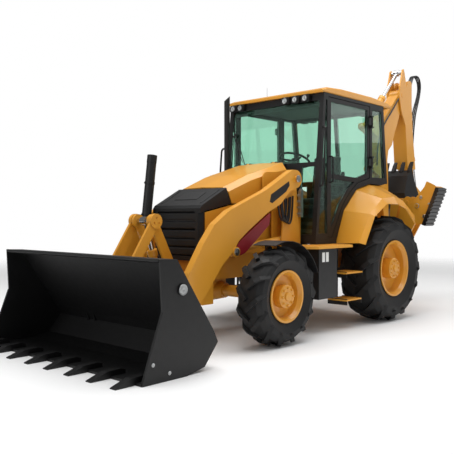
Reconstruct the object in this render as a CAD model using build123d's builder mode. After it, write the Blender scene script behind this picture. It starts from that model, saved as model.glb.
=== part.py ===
"""Backhoe loader: a tractor with a loader bucket in front and a digging arm behind.

Millimetres. +X points forward, +Y to the machine's left and +Z up. Everything is drawn from the
ground point under the middle of the rear axle, and at the end each finished piece is moved so
that the origin lies on the ground under the middle of the whole machine.

It stands as it parks: loader bucket flat on the ground, digging arm folded up behind the cab
and both stabilizers raised.
"""

import os
from math import cos, hypot, radians, sin

from build123d import *

# ---- driving dimensions -------------------------------------------------------------------

WHEELBASE = 2200
PIN_FIT = 0.05  # radial running clearance of a pin in its hole
SIDE_GAP = 6  # between plates that swing past each other
EAR_GAP = 2  # between a boss and the ears that hold it
SEAT_GAP = 0.3  # between pieces of one body that only rest on each other

# wheels
REAR_TYRE_R, REAR_TYRE_W, REAR_RIM_R = 655, 500, 337
FRONT_TYRE_R, FRONT_TYRE_W, FRONT_RIM_R = 500, 340, 253
REAR_WHEEL_Y, FRONT_WHEEL_Y = 864, 940
REAR_STUB_R, FRONT_STUB_R = 70, 55
KINGPIN_Y, KINGPIN_R = 710, 24
LUG_HEIGHT, LUG_SLANT = 32, 0.66

# chassis
RAIL_IN, RAIL_OUT = 290, 330
RAIL_LOW, RAIL_HIGH = 640, 900
RAIL_REAR, RAIL_FRONT = -1000, 2600
TOWER_IN, TOWER_OUT, TOWER_PLATE = 412, 534, 16
NOSE_FRONT, NOSE_REAR, NOSE_HALF = 2716, 2330, 365
HOOD_REAR, HOOD_HALF = 1350, 402
HOOD_HINGE = (1328, 1928)
HOOD_EDGE = ((2247, 1432), (2321, 1603))  # its front edge, which clears the nose as it opens
LID_GAP = 11  # between the hood's front edge and the nose
SHEET = 6  # steel sheet of panels
TIE_DOWN, TIE_DOWN_R = (-1050, 462), 22  # holes in the rear frame for tying the machine down

# cab
CAB_HALF, POST = 730, 48  # outer face of the side frames and their thickness
CAB_FLOOR = 1010
ROOF_LOW, ROOF_HIGH = 2735, 2819
GLASS = 6
DOOR_GAP = 6
DOOR_HINGE, DOOR_PIN_R = (40, 752), 8
DOOR_HINGE_Z = (1985, 2500)

# front loader, side positions as (x, z)
ARM_PIVOT = (1450, 1720)
BUCKET_HINGE = (3250, 275)
LEVER_PIVOT = (2840, 680)
APEX = (3130, 1250)
LINK_PIN = (3481, 720)
TILT_BASE = (2905, 500)
LIFT_BASE = (1450, 1050)
LIFT_EYE = (2455, 938)
CROSS_TUBE = (2780, 540)
ARM_IN, ARM_OUT = 540, 620
ARM_PIN_R, TILT_PIN_R = 35, 28
BUCKET_HALF, BUCKET_SHEET = 1205, 20
TOOTH_TIP = 4360
LOADER_TEETH = 8

# digging arm, side positions as (x, z)
SWING_X = -1420
BOOM_FOOT = (-1600, 1000)
STICK_PIVOT = (-1990, 3200)
HORN_PIN = (-2020, 3560)
STICK_CYL_BASE = (-1060, 2620)
BOOM_CYL_BASE = (-1350, 1215)
BOOM_CYL_EYE = (-1215, 2010)
HOE_PIVOT = (-2470, 1450)
GUIDE_PIVOT = (-2385, 1800)
LINK_KNEE = (-2680, 1630)
TIE_PIN = (-2451, 1231)
CURL_BASE = (-2240, 3400)
BOOM_HALF, CHANNEL_HALF = 85, 60
HOE_HALF, HOE_SHEET = 302, 14
HOE_TEETH = 5

# stabilizers, cross positions as (y, z), drawn for the left side
STAB_X_REAR, STAB_X_FRONT = -1108, -920
LEG_PIVOT = (420, 560)
FOOT_PIN = (905, 1445)
RAM_PIN = (560, 1500)
RAM_EYE_REACH = 300  # from the leg's pivot to the ram's eye

# ---- helpers ------------------------------------------------------------------------------


def outline(plane, points, radius=0):
    """A flat face through points, with rounded corners where a radius is given."""
    with BuildSketch(plane) as face:
        with BuildLine():
            Polyline(*points, close=True)
        make_face()
        if radius:
            fillet(face.vertices(), radius)
    return face.sketch


def side_slab(points, y_low, y_high, radius=0, mode=Mode.ADD):
    """A slab whose side outline is (x, z) points, between two distances to the left."""
    extrude(outline(Plane.XZ.offset(-y_high), points, radius), amount=y_high - y_low, mode=mode)


def cross_slab(points, x_low, x_high, radius=0, mode=Mode.ADD):
    """A slab whose outline is (y, z) points, between two distances forward."""
    extrude(outline(Plane.YZ.offset(x_low), points, radius), amount=x_high - x_low, mode=mode)


def level_slab(points, z_low, z_high, radius=0, mode=Mode.ADD):
    """A slab whose outline is (x, y) points, between two heights."""
    extrude(outline(Plane.XY.offset(z_low), points, radius), amount=z_high - z_low, mode=mode)


def block(x, y, z, mode=Mode.ADD):
    """A box between two corners, given as (low, high) along each axis."""
    level_slab([(x[0], y[0]), (x[1], y[0]), (x[1], y[1]), (x[0], y[1])], z[0], z[1], mode=mode)


def pin(spot, radius, y_low, y_high, mode=Mode.ADD):
    """A round bar across the machine at a side position (x, z)."""
    with BuildSketch(Plane.XZ.offset(-y_high)) as end:
        with Locations(spot):
            Circle(radius)
    extrude(end.sketch, amount=y_high - y_low, mode=mode)


def post(x, y, radius, z_low, z_high, mode=Mode.ADD):
    """An upright round bar."""
    with BuildSketch(Plane.XY.offset(z_low)) as end:
        with Locations((x, y)):
            Circle(radius)
    extrude(end.sketch, amount=z_high - z_low, mode=mode)


def bar(start, end, radius, mode=Mode.ADD):
    """A round bar between two points in space."""
    line = Vector(*end) - Vector(*start)
    with BuildSketch(Plane(origin=start, z_dir=line)) as foot:
        Circle(radius)
    extrude(foot.sketch, amount=line.length, mode=mode)


def pipe(points, radius, bend, mode=Mode.ADD):
    """A bent round pipe through points in space."""
    with BuildLine() as route:
        FilletPolyline(*points, radius=bend)
    with BuildSketch(Plane(origin=route.line @ 0, z_dir=route.line % 0)) as ring:
        Circle(radius)
    sweep(ring.sketch, path=route.line, mode=mode)


def strip(points, thickness):
    """Outline of a bent sheet: a run of points, and its parallel run on the left."""
    run = [Vector(*p) for p in points]
    turns = [(b - a).normalized() for a, b in zip(run, run[1:])]
    back = []
    for i, point in enumerate(run):
        before = turns[max(i - 1, 0)]
        after = turns[min(i, len(turns) - 1)]
        middle = (before + after).normalized()
        reach = thickness / middle.dot(before)
        back.append((point.X - middle.Y * reach, point.Y + middle.X * reach))
    return [*points, *reversed(back)]


def toward(start, end, distance):
    """The point at a distance from one side position towards another."""
    length = hypot(end[0] - start[0], end[1] - start[1])
    share = distance / length
    return (start[0] + (end[0] - start[0]) * share, start[1] + (end[1] - start[1]) * share)


def span(start, end):
    """Distance between two side positions."""
    return hypot(end[0] - start[0], end[1] - start[1])


def tapered(start, end, start_half, end_half):
    """Side outline of a straight bar whose half width changes from one end to the other."""
    length = span(start, end)
    along = ((end[0] - start[0]) / length, (end[1] - start[1]) / length)
    square = (-along[1], along[0])
    return [
        (start[0] + square[0] * start_half, start[1] + square[1] * start_half),
        (end[0] + square[0] * end_half, end[1] + square[1] * end_half),
        (end[0] - square[0] * end_half, end[1] - square[1] * end_half),
        (start[0] - square[0] * start_half, start[1] - square[1] * start_half),
    ]


def in_plane(spot, y):
    """A side position as a point in space."""
    return (spot[0], y, spot[1])


def cylinder_barrel(base, eye, y, radius, rod_radius, dead_end, gland, pin_radius, pin_low, pin_high):
    """Barrel of a side-on hydraulic cylinder, bored for its rod, with the pin of its base."""
    mouth = in_plane(toward(base, eye, gland), y)
    bar(in_plane(base, y), mouth, radius)
    bar(in_plane(toward(base, eye, gland - 60), y), mouth, radius * 1.12)
    pin(base, radius * 1.15, y - radius - 1, y + radius + 1)
    bar(in_plane(toward(base, eye, dead_end), y), mouth, rod_radius + PIN_FIT, Mode.SUBTRACT)
    pin(base, pin_radius, pin_low, pin_high)


def cylinder_rod(base, eye, y, rod_radius, tail, eye_radius, eye_half, pin_radius, pin_low, pin_high):
    """Rod of a side-on cylinder: a bar with an eye and the stub pin that the eye turns on."""
    bar(in_plane(toward(base, eye, tail), y), in_plane(eye, y), rod_radius)
    pin(eye, eye_radius, y - eye_half, y + eye_half)
    pin(eye, pin_radius, pin_low, pin_high)


def both_sides():
    """Repeat what the part holds so far on the other side of the machine."""
    mirror(about=Plane.XZ)


pieces = {}


def keep(name, piece):
    """Label a finished piece and put it on the list of what is written out."""
    piece.label = name
    pieces[name] = piece


# ---- wheels -------------------------------------------------------------------------------


def tyre(axle, wheel_y, radius, width, rim_radius, lugs):
    """Left-hand drive tyre with slanted bar lugs, its axis across the machine."""
    half = width / 2
    ground = radius - LUG_HEIGHT
    # half section of the carcass: distance out from the wheel's middle, radius
    carcass = [
        (0, ground),
        (0.62 * half, ground - 12),
        (0.90 * half, ground - 52),
        (0.96 * half, (ground + rim_radius) / 2),
        (0.80 * half - 26, rim_radius - 8 + SEAT_GAP),
    ]
    section = carcass + [(-out, r) for out, r in reversed(carcass[1:])]
    with BuildPart() as part:
        with BuildSketch(Plane.YZ):
            with BuildLine():
                Polyline(*section, close=True)
            make_face()
        revolve(axis=Axis.Y)
        # a lug's outline: distance along the bar, radius; it bends down at the shoulder
        reach = half * 1.32
        lug = [
            (0, radius),
            (0.50 * reach, radius),
            (0.78 * reach, radius - 22),
            (reach, ground - 78),
            (0.86 * reach, ground - 96),
            (0, ground - 40),
        ]
        # the bar is straight, so it is lowered where its slant takes it round the tyre
        bar_half = 0.042 * radius
        edge = 0.75 * bar_half
        lug = [(out, (r**2 + edge**2 - (LUG_SLANT * out + edge) ** 2) ** 0.5) for out, r in lug]
        for hand in (1, -1):
            for i in range(lugs):
                wheel = Plane.XY.rotated((0, (i + (0.5 if hand < 0 else 0)) * 360 / lugs, 0))
                along = wheel.x_dir * -LUG_SLANT + Vector(0, hand * (1 - LUG_SLANT**2) ** 0.5, 0)
                plane = Plane(origin=(0, 0, 0), x_dir=along, z_dir=along.cross(wheel.z_dir))
                extrude(outline(plane, lug), amount=bar_half, both=True)
    return part.part.moved(Location((axle[0], wheel_y, axle[1])))


def rim(axle, wheel_y, radius, width, stub_radius, hub_radius, dish):
    """Left-hand rim: a bowl with a rolled flange on each side and a hub for the stub axle."""
    half = width * 0.40
    wall = 12
    with BuildPart() as part:
        with BuildSketch(Plane.YZ):
            with BuildLine():
                Polyline(
                    (half, radius + 10),
                    (half, radius - wall),
                    (half - 40, radius - wall - 26),
                    (dish + wall, radius - wall - 34),
                    (dish + wall - 6, hub_radius + 40),
                    (dish + wall, hub_radius),
                    (half - 12, hub_radius),
                    (half, hub_radius - 14),
                    (half, 0),
                    (half - 30, 0),
                    (half - 30, stub_radius + PIN_FIT),
                    (dish - 70, stub_radius + PIN_FIT),
                    (dish - 70, hub_radius),
                    (dish - 6, hub_radius + 40),
                    (dish - wall, radius - 34),
                    (-half + 40, radius - 40),
                    (-half, radius - wall),
                    (-half, radius + 10),
                    (-half + 12, radius + 10),
                    (-half + 24, radius - 8),
                    (half - 24, radius - 8),
                    (half - 12, radius + 10),
                    close=True,
                )
            make_face()
        revolve(axis=Axis.Y)
    return part.part.moved(Location((axle[0], wheel_y, axle[1])))


REAR_AXLE = (0, REAR_TYRE_R)
FRONT_AXLE = (WHEELBASE, FRONT_TYRE_R)
rear_tyre = tyre(REAR_AXLE, REAR_WHEEL_Y, REAR_TYRE_R, REAR_TYRE_W, REAR_RIM_R, 15)
front_tyre = tyre(FRONT_AXLE, FRONT_WHEEL_Y, FRONT_TYRE_R, FRONT_TYRE_W, FRONT_RIM_R, 14)
rear_rim = rim(REAR_AXLE, REAR_WHEEL_Y, REAR_RIM_R, REAR_TYRE_W, REAR_STUB_R, 130, 60)
front_rim = rim(FRONT_AXLE, FRONT_WHEEL_Y, FRONT_RIM_R, FRONT_TYRE_W, FRONT_STUB_R, 118, 30)
for name, wheel in (
    ("tyre_rear", rear_tyre),
    ("tyre_front", front_tyre),
    ("rim_rear", rear_rim),
    ("rim_front", front_rim),
):
    keep(f"{name}_left", wheel)
    keep(f"{name}_right", wheel.mirror(Plane.XZ))

# ---- chassis ------------------------------------------------------------------------------

with BuildPart() as main_frame:
    # two long rails with cross members
    block((RAIL_REAR, RAIL_FRONT), (RAIL_IN, RAIL_OUT), (RAIL_LOW, RAIL_HIGH))
    # loader tower: an inner plate with a rounded cowl beside the hood, and an outer plate
    cowl = [(1245, 790), (1640, 790), (1640, 1440), (1800, 1540), (1800, 1790), (1245, 1815)]
    side_slab(cowl, TOWER_IN, TOWER_IN + TOWER_PLATE, radius=60)
    tower = [(1245, 700), (1650, 700), (1560, 1400), (1545, 1790), (1360, 1790), (1300, 1400)]
    side_slab(tower, TOWER_OUT - TOWER_PLATE, TOWER_OUT, radius=30)
    # foot of the tower, standing out from the rail
    block((1245, 1640), (RAIL_OUT + SEAT_GAP, TOWER_OUT - 4), (720, 800))
    block((1250, 1266), (TOWER_IN, TOWER_OUT - 4), (790, 1300))
    pin(ARM_PIVOT, ARM_PIN_R, TOWER_IN, ARM_OUT + 26)
    for spot in (LIFT_BASE,):
        for low in (TOWER_IN, TOWER_OUT - TOWER_PLATE):
            pin(spot, TILT_PIN_R + 30, low, low + TOWER_PLATE)
            pin(spot, TILT_PIN_R + PIN_FIT, low, low + TOWER_PLATE, Mode.SUBTRACT)
    both_sides()
    for x in (-960, -300, 700, 1650, 2520):
        block((x - 40, x + 40), (-RAIL_IN - 5, RAIL_IN + 5), (RAIL_LOW + 40, RAIL_HIGH - 60))
    # seat of the rear axle's tube
    pin((0, REAR_TYRE_R), 98 + SEAT_GAP, -RAIL_OUT - 1, RAIL_OUT + 1, Mode.SUBTRACT)
    # axle saddle and front bumper
    block((2100, 2300), (-RAIL_IN - 5, RAIL_IN + 5), (RAIL_LOW, 760))
    block((2540, 2640), (-RAIL_OUT, RAIL_OUT), (RAIL_LOW - 40, 838))

with BuildPart() as front_axle:
    x, z = FRONT_AXLE
    with BuildSketch(Plane.XZ.offset(-620)) as tube:
        with Locations((x, z)):
            Circle(62)
    extrude(tube.sketch, amount=1240)
    with BuildSketch(Plane.XZ.offset(-230)) as bowl_edge:
        with Locations((x, z)):
            Circle(80)
    with BuildSketch(Plane.XZ.offset(0)) as bowl:
        with Locations((x, z)):
            Circle(132)
    loft([bowl_edge.sketch, bowl.sketch], ruled=True)
    loft([bowl.sketch, bowl_edge.sketch.mirror(Plane.XZ)], ruled=True)
    # fork that holds the kingpins
    for side in (1, -1):
        low, high = sorted((side * 560, side * 640))
        block((x - 55, x + 55), (low, high), (z - 140, z + 140))
        for bottom, top in ((z + 108, z + 140), (z - 140, z - 108)):
            low, high = sorted((side * 600, side * KINGPIN_Y))
            block((x - 40, x + 40), (low, high), (bottom, top))
            post(x, side * KINGPIN_Y, 44, bottom, top)
            post(x, side * KINGPIN_Y, KINGPIN_R + PIN_FIT, bottom - 1, top + 1, Mode.SUBTRACT)
    # trunnion block that carries the frame
    block((x - 90, x + 90), (-150, 150), (z + 60, RAIL_LOW - SEAT_GAP))

with BuildPart() as rear_axle:
    x, z = REAR_AXLE
    pin((x, z), 98, -560, 560)
    pin((x, z), 178, 470, 590)
    pin((x, z), 178, -590, -470)
    pin((x, z), REAR_STUB_R, -REAR_WHEEL_Y - 150, REAR_WHEEL_Y + 150)
    with BuildSketch(Plane.XZ.offset(-280)) as bowl_edge:
        with Locations((x, z)):
            Circle(130)
    with BuildSketch(Plane.XZ.offset(0)) as bowl:
        with Locations((x, z)):
            Circle(215)
    loft([bowl_edge.sketch, bowl.sketch], ruled=True)
    loft([bowl.sketch, bowl_edge.sketch.mirror(Plane.XZ)], ruled=True)

with BuildPart() as engine:
    block((1518, 2240), (-235, 235), (RAIL_HIGH - 60 + SEAT_GAP, 1415))
    block((760, 1600), (-200, 200), (600, 980))



def hood_edge_x(z):
    """Forward position of the hood's front edge at a height."""
    (low_x, low_z), (high_x, high_z) = HOOD_EDGE
    return low_x + (z - low_z) * (high_x - low_x) / (high_z - low_z)


with BuildPart() as nose_grille:
    side = [(hood_edge_x(z) + LID_GAP, z) for z in (1432, 1600)] + [(2690, 1412), (NOSE_FRONT, 1380)]
    side += [(NOSE_FRONT, 1330), (2660, 1350)]
    side_slab(side, -NOSE_HALF, NOSE_HALF)
    corner = 40
    plan = [(2655, NOSE_HALF), (NOSE_FRONT - corner, NOSE_HALF), (NOSE_FRONT, NOSE_HALF - corner)]
    plan += [(px, -py) for px, py in reversed(plan)]
    level_slab(plan, 842, 1375)
    # louvres: a deep recess with sloping slats across it
    recess_half, recess_low, recess_high, slats = 285, 890, 1350, 8
    block((2672, NOSE_FRONT + 1), (-recess_half, recess_half), (recess_low, recess_high), Mode.SUBTRACT)
    pitch = (recess_high - recess_low) / slats
    for i in range(slats):
        low = recess_low + (i + 0.5) * pitch
        slat = [(2665, low + 12), (2708, low - 16), (2708, low - 2), (2665, low + 26)]
        side_slab(slat, -recess_half - 2, recess_half + 2)

with BuildPart() as side_panels:
    lid_line = [(1500, 1452), (2258, 1418), (2650, 1338)]
    panel = [(1500, 905), (2620, 905), (2650, 960), *reversed(lid_line)]
    side_slab(panel, NOSE_HALF - SHEET - 4, NOSE_HALF, radius=10)
    block((1500, 2600), (RAIL_OUT - 10, NOSE_HALF), (RAIL_HIGH + SEAT_GAP, RAIL_HIGH + 12))
    both_sides()
    block((1500, 1512), (-NOSE_HALF, NOSE_HALF), (985, 1440))

with BuildPart() as hood:
    # cross sections: forward, half width, lower edge, shoulder, crown
    sections = [
        (NOSE_REAR, 366, 1432, 1548, 1603),
        (1960, 380, 1450, 1690, 1750),
        (1640, 392, 1464, 1780, 1842),
        (HOOD_REAR, HOOD_HALF, 1476, 1840, 1925),
    ]
    for inset, mode in ((0, Mode.ADD), (SHEET * 2, Mode.SUBTRACT)):
        faces = []
        for x, half, low, shoulder, crown in sections:
            if inset and x == HOOD_REAR:
                x += inset
            w = half - inset
            low = low - (2 if inset else 0)
            ring = [(w, low), (w, shoulder - inset / 2), (w - 62, crown - inset), (0, crown + 10 - inset)]
            ring += [(-py, pz) for py, pz in reversed(ring[:-1])]
            faces.append(outline(Plane.YZ.offset(x), ring))
        loft(faces, ruled=True, mode=mode)
    front = [(hood_edge_x(z), z) for z in (1380, 1660)] + [(NOSE_REAR + 60, 1660), (NOSE_REAR + 60, 1380)]
    side_slab(front, -HOOD_HALF, HOOD_HALF, mode=Mode.SUBTRACT)
    # hinge knuckles behind the rear edge
    for side in (1, -1):
        low, high = sorted((side * 180, side * 220))
        pin(HOOD_HINGE, 14, low, high)
        block((HOOD_HINGE[0], HOOD_REAR + 8), (low, high), (HOOD_HINGE[1] - 14, HOOD_HINGE[1] - 2))
        low, high = sorted((side * 160, side * 240))
        pin(HOOD_HINGE, 7, low, high)

with BuildPart() as exhaust_stacks:
    y = -391
    bar((2800, y, 1180), (2702, y, 1955), 52)
    bar((2712, y, 1880), (2701, y, 1962), 54)
    bar((2700, y, 1975), (2706, y, 1930), 46, Mode.SUBTRACT)
    block((2650, 2790), (y, -NOSE_HALF - SEAT_GAP), (1200, 1240))
    # intake pipe beside the cab, with a slanted mouth, on a bracket from the tower
    pipe_x, pipe_y, pipe_r = 1290, -592, 36
    post(pipe_x, pipe_y, pipe_r, 1440, 2830)
    with BuildSketch(Plane(origin=(pipe_x, pipe_y, 2790), z_dir=(0.7, -0.6, 1))):
        Circle(3 * pipe_r)
    extrude(amount=150, mode=Mode.SUBTRACT)
    block((pipe_x - 15, 1350), (pipe_y, -TOWER_OUT - SEAT_GAP), (1480, 1510))

# ---- cab ----------------------------------------------------------------------------------

# the front plane leans back: forward position at a height
FRONT_LOW, FRONT_HIGH = (1230, CAB_FLOOR), (1066, ROOF_LOW - SEAT_GAP)
REAR_LOW, REAR_HIGH = (-400, 1740), (-290, ROOF_LOW - SEAT_GAP)
LOWER_HALF = 580  # half width of the cab below the fenders' crests
# crest of the left fender: turn round the axle from straight ahead, radius there, radius of the
# outer fold and radius of the lower edge
FENDER = [
    (22, 862, 905, 850),
    (48, 962, 908, 868),
    (70, 1040, 915, 850),
    (88, 1056, 890, 800),
    (104, 1078, 868, 770),
    (128, 1165, 835, 705),
]
FENDER_CREST_Y, FENDER_FOLD_Y, FENDER_EDGE_Y = 700, 1060, 1115


def round_axle(turn, radius):
    """Side position at a turn and radius round the rear axle."""
    return (radius * cos(radians(turn)), REAR_TYRE_R + radius * sin(radians(turn)))


crest = [round_axle(turn, r) for turn, r, _, _ in FENDER]


def front_x(z):
    """Forward position of the cab's leaning front plane at a height."""
    share = (z - FRONT_LOW[1]) / (FRONT_HIGH[1] - FRONT_LOW[1])
    return FRONT_LOW[0] + share * (FRONT_HIGH[0] - FRONT_LOW[0])


def rear_x(z):
    """The same for the rear plane."""
    share = (z - REAR_LOW[1]) / (REAR_HIGH[1] - REAR_LOW[1])
    return REAR_LOW[0] + share * (REAR_HIGH[0] - REAR_LOW[0])


SCREEN_LOW, SCREEN_HIGH = 1930, 2650  # windscreen, above the firewall
CORNER_IN, CORNER_LOW, CORNER_HIGH = 470, 1090, 1880  # panes beside the hood
REAR_PANE_LOW, REAR_PANE_HIGH = 1800, 2650
FRAME_EDGE = 60  # from the cab's outer face to the edge of its front and rear windows
DOOR_OPENING = [
    (975, 1052), (975, 2697), (45, 2697), (45, 1784), (326, 1716), (515, 1585), (674, 1426), (901, 1052),
]
QUARTER_PANE = [
    (-10, 1800), (-10, 2660), (rear_x(2660) + 60, 2660), (rear_x(1800) + 60, 1800),
]
FORE_PANE = [
    (1000, 1100), (1000, 2660), (front_x(2660) - 48, 2660), (front_x(1100) - 48, 1100),
]


def mirrored(low, high, side):
    """A range across the machine, on the left (side 1) or on the right (side -1)."""
    return tuple(sorted((side * low, side * high)))


with BuildPart() as cab_frame:
    # side frame: one plate with the door opening and two panes cut out of it
    above = [(px, pz + 6) for px, pz in crest[:5]]
    side = [FRONT_LOW, FRONT_HIGH, REAR_HIGH, REAR_LOW, *reversed(above[1:]), (812, CAB_FLOOR)]
    side_slab(side, CAB_HALF - POST, CAB_HALF)
    for opening in (DOOR_OPENING, QUARTER_PANE, FORE_PANE):
        side_slab(opening, CAB_HALF - POST - 1, CAB_HALF + 1, mode=Mode.SUBTRACT)
    # the side frame is four solids: the front post, the rail over the door, the sill and the rear post
    for x, rail in ((974, (1000, 1060)), (974, (2690, 2740)), (46, (1690, 1795)), (46, (2690, 2740))):
        block((x, x + SEAT_GAP), (CAB_HALF - POST - 1, CAB_HALF + 1), rail, Mode.SUBTRACT)
    # side wall below the fender's crest, and the shelf that joins it to the side frame
    lower = [(1180, CAB_FLOOR), (1180, CAB_FLOOR + 60), (840, CAB_FLOOR + 60)]
    lower += [(px, pz + 4) for px, pz in crest[1:5]] + [(REAR_LOW[0], CAB_FLOOR)]
    side_slab(lower, LOWER_HALF - 30, LOWER_HALF)
    # pins and ears of the door's hinges
    for z in DOOR_HINGE_Z:
        post(*DOOR_HINGE, DOOR_PIN_R, z - 76, z + 76)
        for low in (z - 76, z + 62):
            block((0, 24), (CAB_HALF - 4, DOOR_HINGE[1] + 14), (low, low + 14))
            block((16, 54), (CAB_HALF + 3, DOOR_HINGE[1] + 14), (low, low + 14))
    shelf = strip(crest[:5], -12)
    side_slab(shelf, LOWER_HALF - 30, CAB_HALF - POST + 2)
    side_slab(strip(crest[:5], 3), LOWER_HALF + 0.1, CAB_HALF, mode=Mode.SUBTRACT)
    both_sides()
    # floor, front wall and rear wall
    block((REAR_LOW[0], 1226), (-LOWER_HALF, LOWER_HALF), (CAB_FLOOR - 30, CAB_FLOOR))
    block((806, 1226), (-CAB_HALF, CAB_HALF), (CAB_FLOOR - 30, CAB_FLOOR))
    front_wall = [FRONT_LOW, FRONT_HIGH, (FRONT_HIGH[0] - 40, FRONT_HIGH[1])]
    front_wall += [(FRONT_LOW[0] - 40, FRONT_LOW[1])]
    side_slab(front_wall, -CAB_HALF, CAB_HALF)
    screen_half = CAB_HALF - FRAME_EDGE
    block((950, 1300), (-screen_half, screen_half), (SCREEN_LOW, SCREEN_HIGH), Mode.SUBTRACT)
    rear_wall = [REAR_LOW, REAR_HIGH, (REAR_HIGH[0] + 40, REAR_HIGH[1]), (REAR_LOW[0] + 40, REAR_LOW[1])]
    side_slab(rear_wall, -CAB_HALF, CAB_HALF)
    rear_half = LOWER_HALF - 30 - SEAT_GAP
    block((REAR_LOW[0], REAR_LOW[0] + 30), (-rear_half, rear_half), (CAB_FLOOR, 1745))
    block((REAR_LOW[0], REAR_LOW[0] + 40), (-CAB_HALF, CAB_HALF), (1730, 1760))
    for side in (1, -1):
        corner = mirrored(CORNER_IN, screen_half, side)
        block((950, 1300), corner, (CORNER_LOW, CORNER_HIGH), Mode.SUBTRACT)
        rear = mirrored(25, screen_half, side)
        block((-500, -200), rear, (REAR_PANE_LOW, REAR_PANE_HIGH), Mode.SUBTRACT)
        # mounts on the rails
        for x in (-250, 1100):
            foot = mirrored(RAIL_IN, RAIL_OUT + 40, side)
            block((x - 50, x + 50), foot, (RAIL_HIGH + SEAT_GAP, CAB_FLOOR - 29))
        # hinge ears for the hood
        for near in (166, 224):
            low, high = mirrored(near, near + 12, side)
            ear = [(1110, 1880), (1340, 1910), (1344, 1936), (1330, 1944), (1165, 1926), (1110, 1926)]
            side_slab(ear, low, high)
            pin(HOOD_HINGE, 7 + PIN_FIT, low - 1, high + 1, Mode.SUBTRACT)
        # the panels are solids of their own, which only rest on each other
        seam = mirrored(CAB_HALF - POST - SEAT_GAP, CAB_HALF - POST, side)
        block((-600, 1300), seam, (CAB_FLOOR, ROOF_LOW), Mode.SUBTRACT)
    block((-600, 1300), (-CAB_HALF, CAB_HALF), (CAB_FLOOR, CAB_FLOOR + SEAT_GAP), Mode.SUBTRACT)

with BuildPart() as cab_roof:
    roof = [(1105, ROOF_LOW), (1105, 2765), (1010, 2800), (700, ROOF_HIGH), (0, ROOF_HIGH), (-420, 2795)]
    roof += [(-520, 2760), (-520, ROOF_LOW)]
    side_slab(roof, -CAB_HALF - 5, CAB_HALF + 5)
    chamfer(cab_roof.faces().sort_by(Axis.Y)[0].edges() + cab_roof.faces().sort_by(Axis.Y)[-1].edges(), 14)
    block((-470, 1050), (-CAB_HALF + 50, CAB_HALF - 50), (ROOF_LOW - 1, ROOF_LOW + 30), Mode.SUBTRACT)



def inset(points, gap):
    """A closed outline drawn in by a gap all round, or grown where the gap is negative."""
    run = [Vector(*p) for p in points]
    nexts = run[1:] + run[:1]
    area = sum(a.X * b.Y - a.Y * b.X for a, b in zip(run, nexts))
    gap = gap if area > 0 else -gap
    drawn = []
    for before, here, after in zip(run[-1:] + run, run, nexts):
        first, second = (here - before).normalized(), (after - here).normalized()
        middle = (first + second).normalized()
        reach = gap / middle.dot(first)
        drawn.append((here.X - middle.Y * reach, here.Y + middle.X * reach))
    return drawn


def leaning_pane(edge_x, z_low, z_high, behind):
    """Side outline of a pane set a little behind a leaning front or rear plane."""
    low, high = z_low + SEAT_GAP, z_high - SEAT_GAP
    step = GLASS if behind > 0 else -GLASS
    run = [(edge_x(low) + behind, low), (edge_x(high) + behind, high)]
    return [*run, (run[1][0] + step, high), (run[0][0] + step, low)]


with BuildPart() as cab_glass:
    # windscreen, corner panes, rear panes and side panes, set inside the frame
    half = CAB_HALF - FRAME_EDGE - SEAT_GAP
    side_slab(leaning_pane(front_x, SCREEN_LOW, SCREEN_HIGH, -15), -half, half)
    for side in (1, -1):
        corner = leaning_pane(front_x, CORNER_LOW, CORNER_HIGH, -15)
        side_slab(corner, *mirrored(CORNER_IN + SEAT_GAP, half, side))
        rear = leaning_pane(rear_x, REAR_PANE_LOW, REAR_PANE_HIGH, 15)
        side_slab(rear, *mirrored(25 + SEAT_GAP, half, side))
        for pane in (QUARTER_PANE, FORE_PANE):
            side_slab(inset(pane, SEAT_GAP), *mirrored(CAB_HALF - 23, CAB_HALF - 17, side))

# door outlines as (x, z): frame, then the openings of its two panes
DOOR = [
    (968, 1058), (968, 2690), (52, 2690), (52, 1790), (330, 1722), (520, 1590), (680, 1430), (905, 1058),
]
DOOR_WINDOWS = (
    [(918, 1800), (918, 2640), (102, 2640), (102, 1842), (345, 1776)],
    [(918, 1150), (918, 1745), (400, 1722), (560, 1630), (730, 1458)],
)


def door(hand):
    """Door frame, its hinge barrels and its handle; hand is 1 on the left, -1 on the right."""
    y_low, y_high = CAB_HALF - POST + 2, CAB_HALF - 4
    with BuildPart() as part:
        side_slab(DOOR, y_low, y_high)
        for window in DOOR_WINDOWS:
            side_slab(window, y_low - 1, y_high + 1, mode=Mode.SUBTRACT)
        for z in DOOR_HINGE_Z:
            block((DOOR_HINGE[0], 110), (CAB_HALF + 3, DOOR_HINGE[1] + 8), (z - 45, z + 45))
            block((60, 110), (y_high - 1, CAB_HALF + 4), (z - 45, z + 45))
            post(*DOOR_HINGE, 18, z - 60, z + 60)
            post(*DOOR_HINGE, DOOR_PIN_R + PIN_FIT, z - 61, z + 61, Mode.SUBTRACT)
        out = y_high + 45
        pipe([(943, y_high - 1, 1700), (943, out, 1700), (943, out, 2000), (943, y_high - 1, 2000)], 9, 25)
    return part.part if hand > 0 else part.part.mirror(Plane.XZ)


def door_glass(hand):
    """The two panes of a door."""
    with BuildPart() as part:
        for window in DOOR_WINDOWS:
            side_slab(inset(window, SEAT_GAP), CAB_HALF - 25, CAB_HALF - 19)
    return part.part if hand > 0 else part.part.mirror(Plane.XZ)


for hand, side_name in ((1, "left"), (-1, "right")):
    keep(f"door_{side_name}", door(hand))
    keep(f"door_glass_{side_name}", door_glass(hand))

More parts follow.
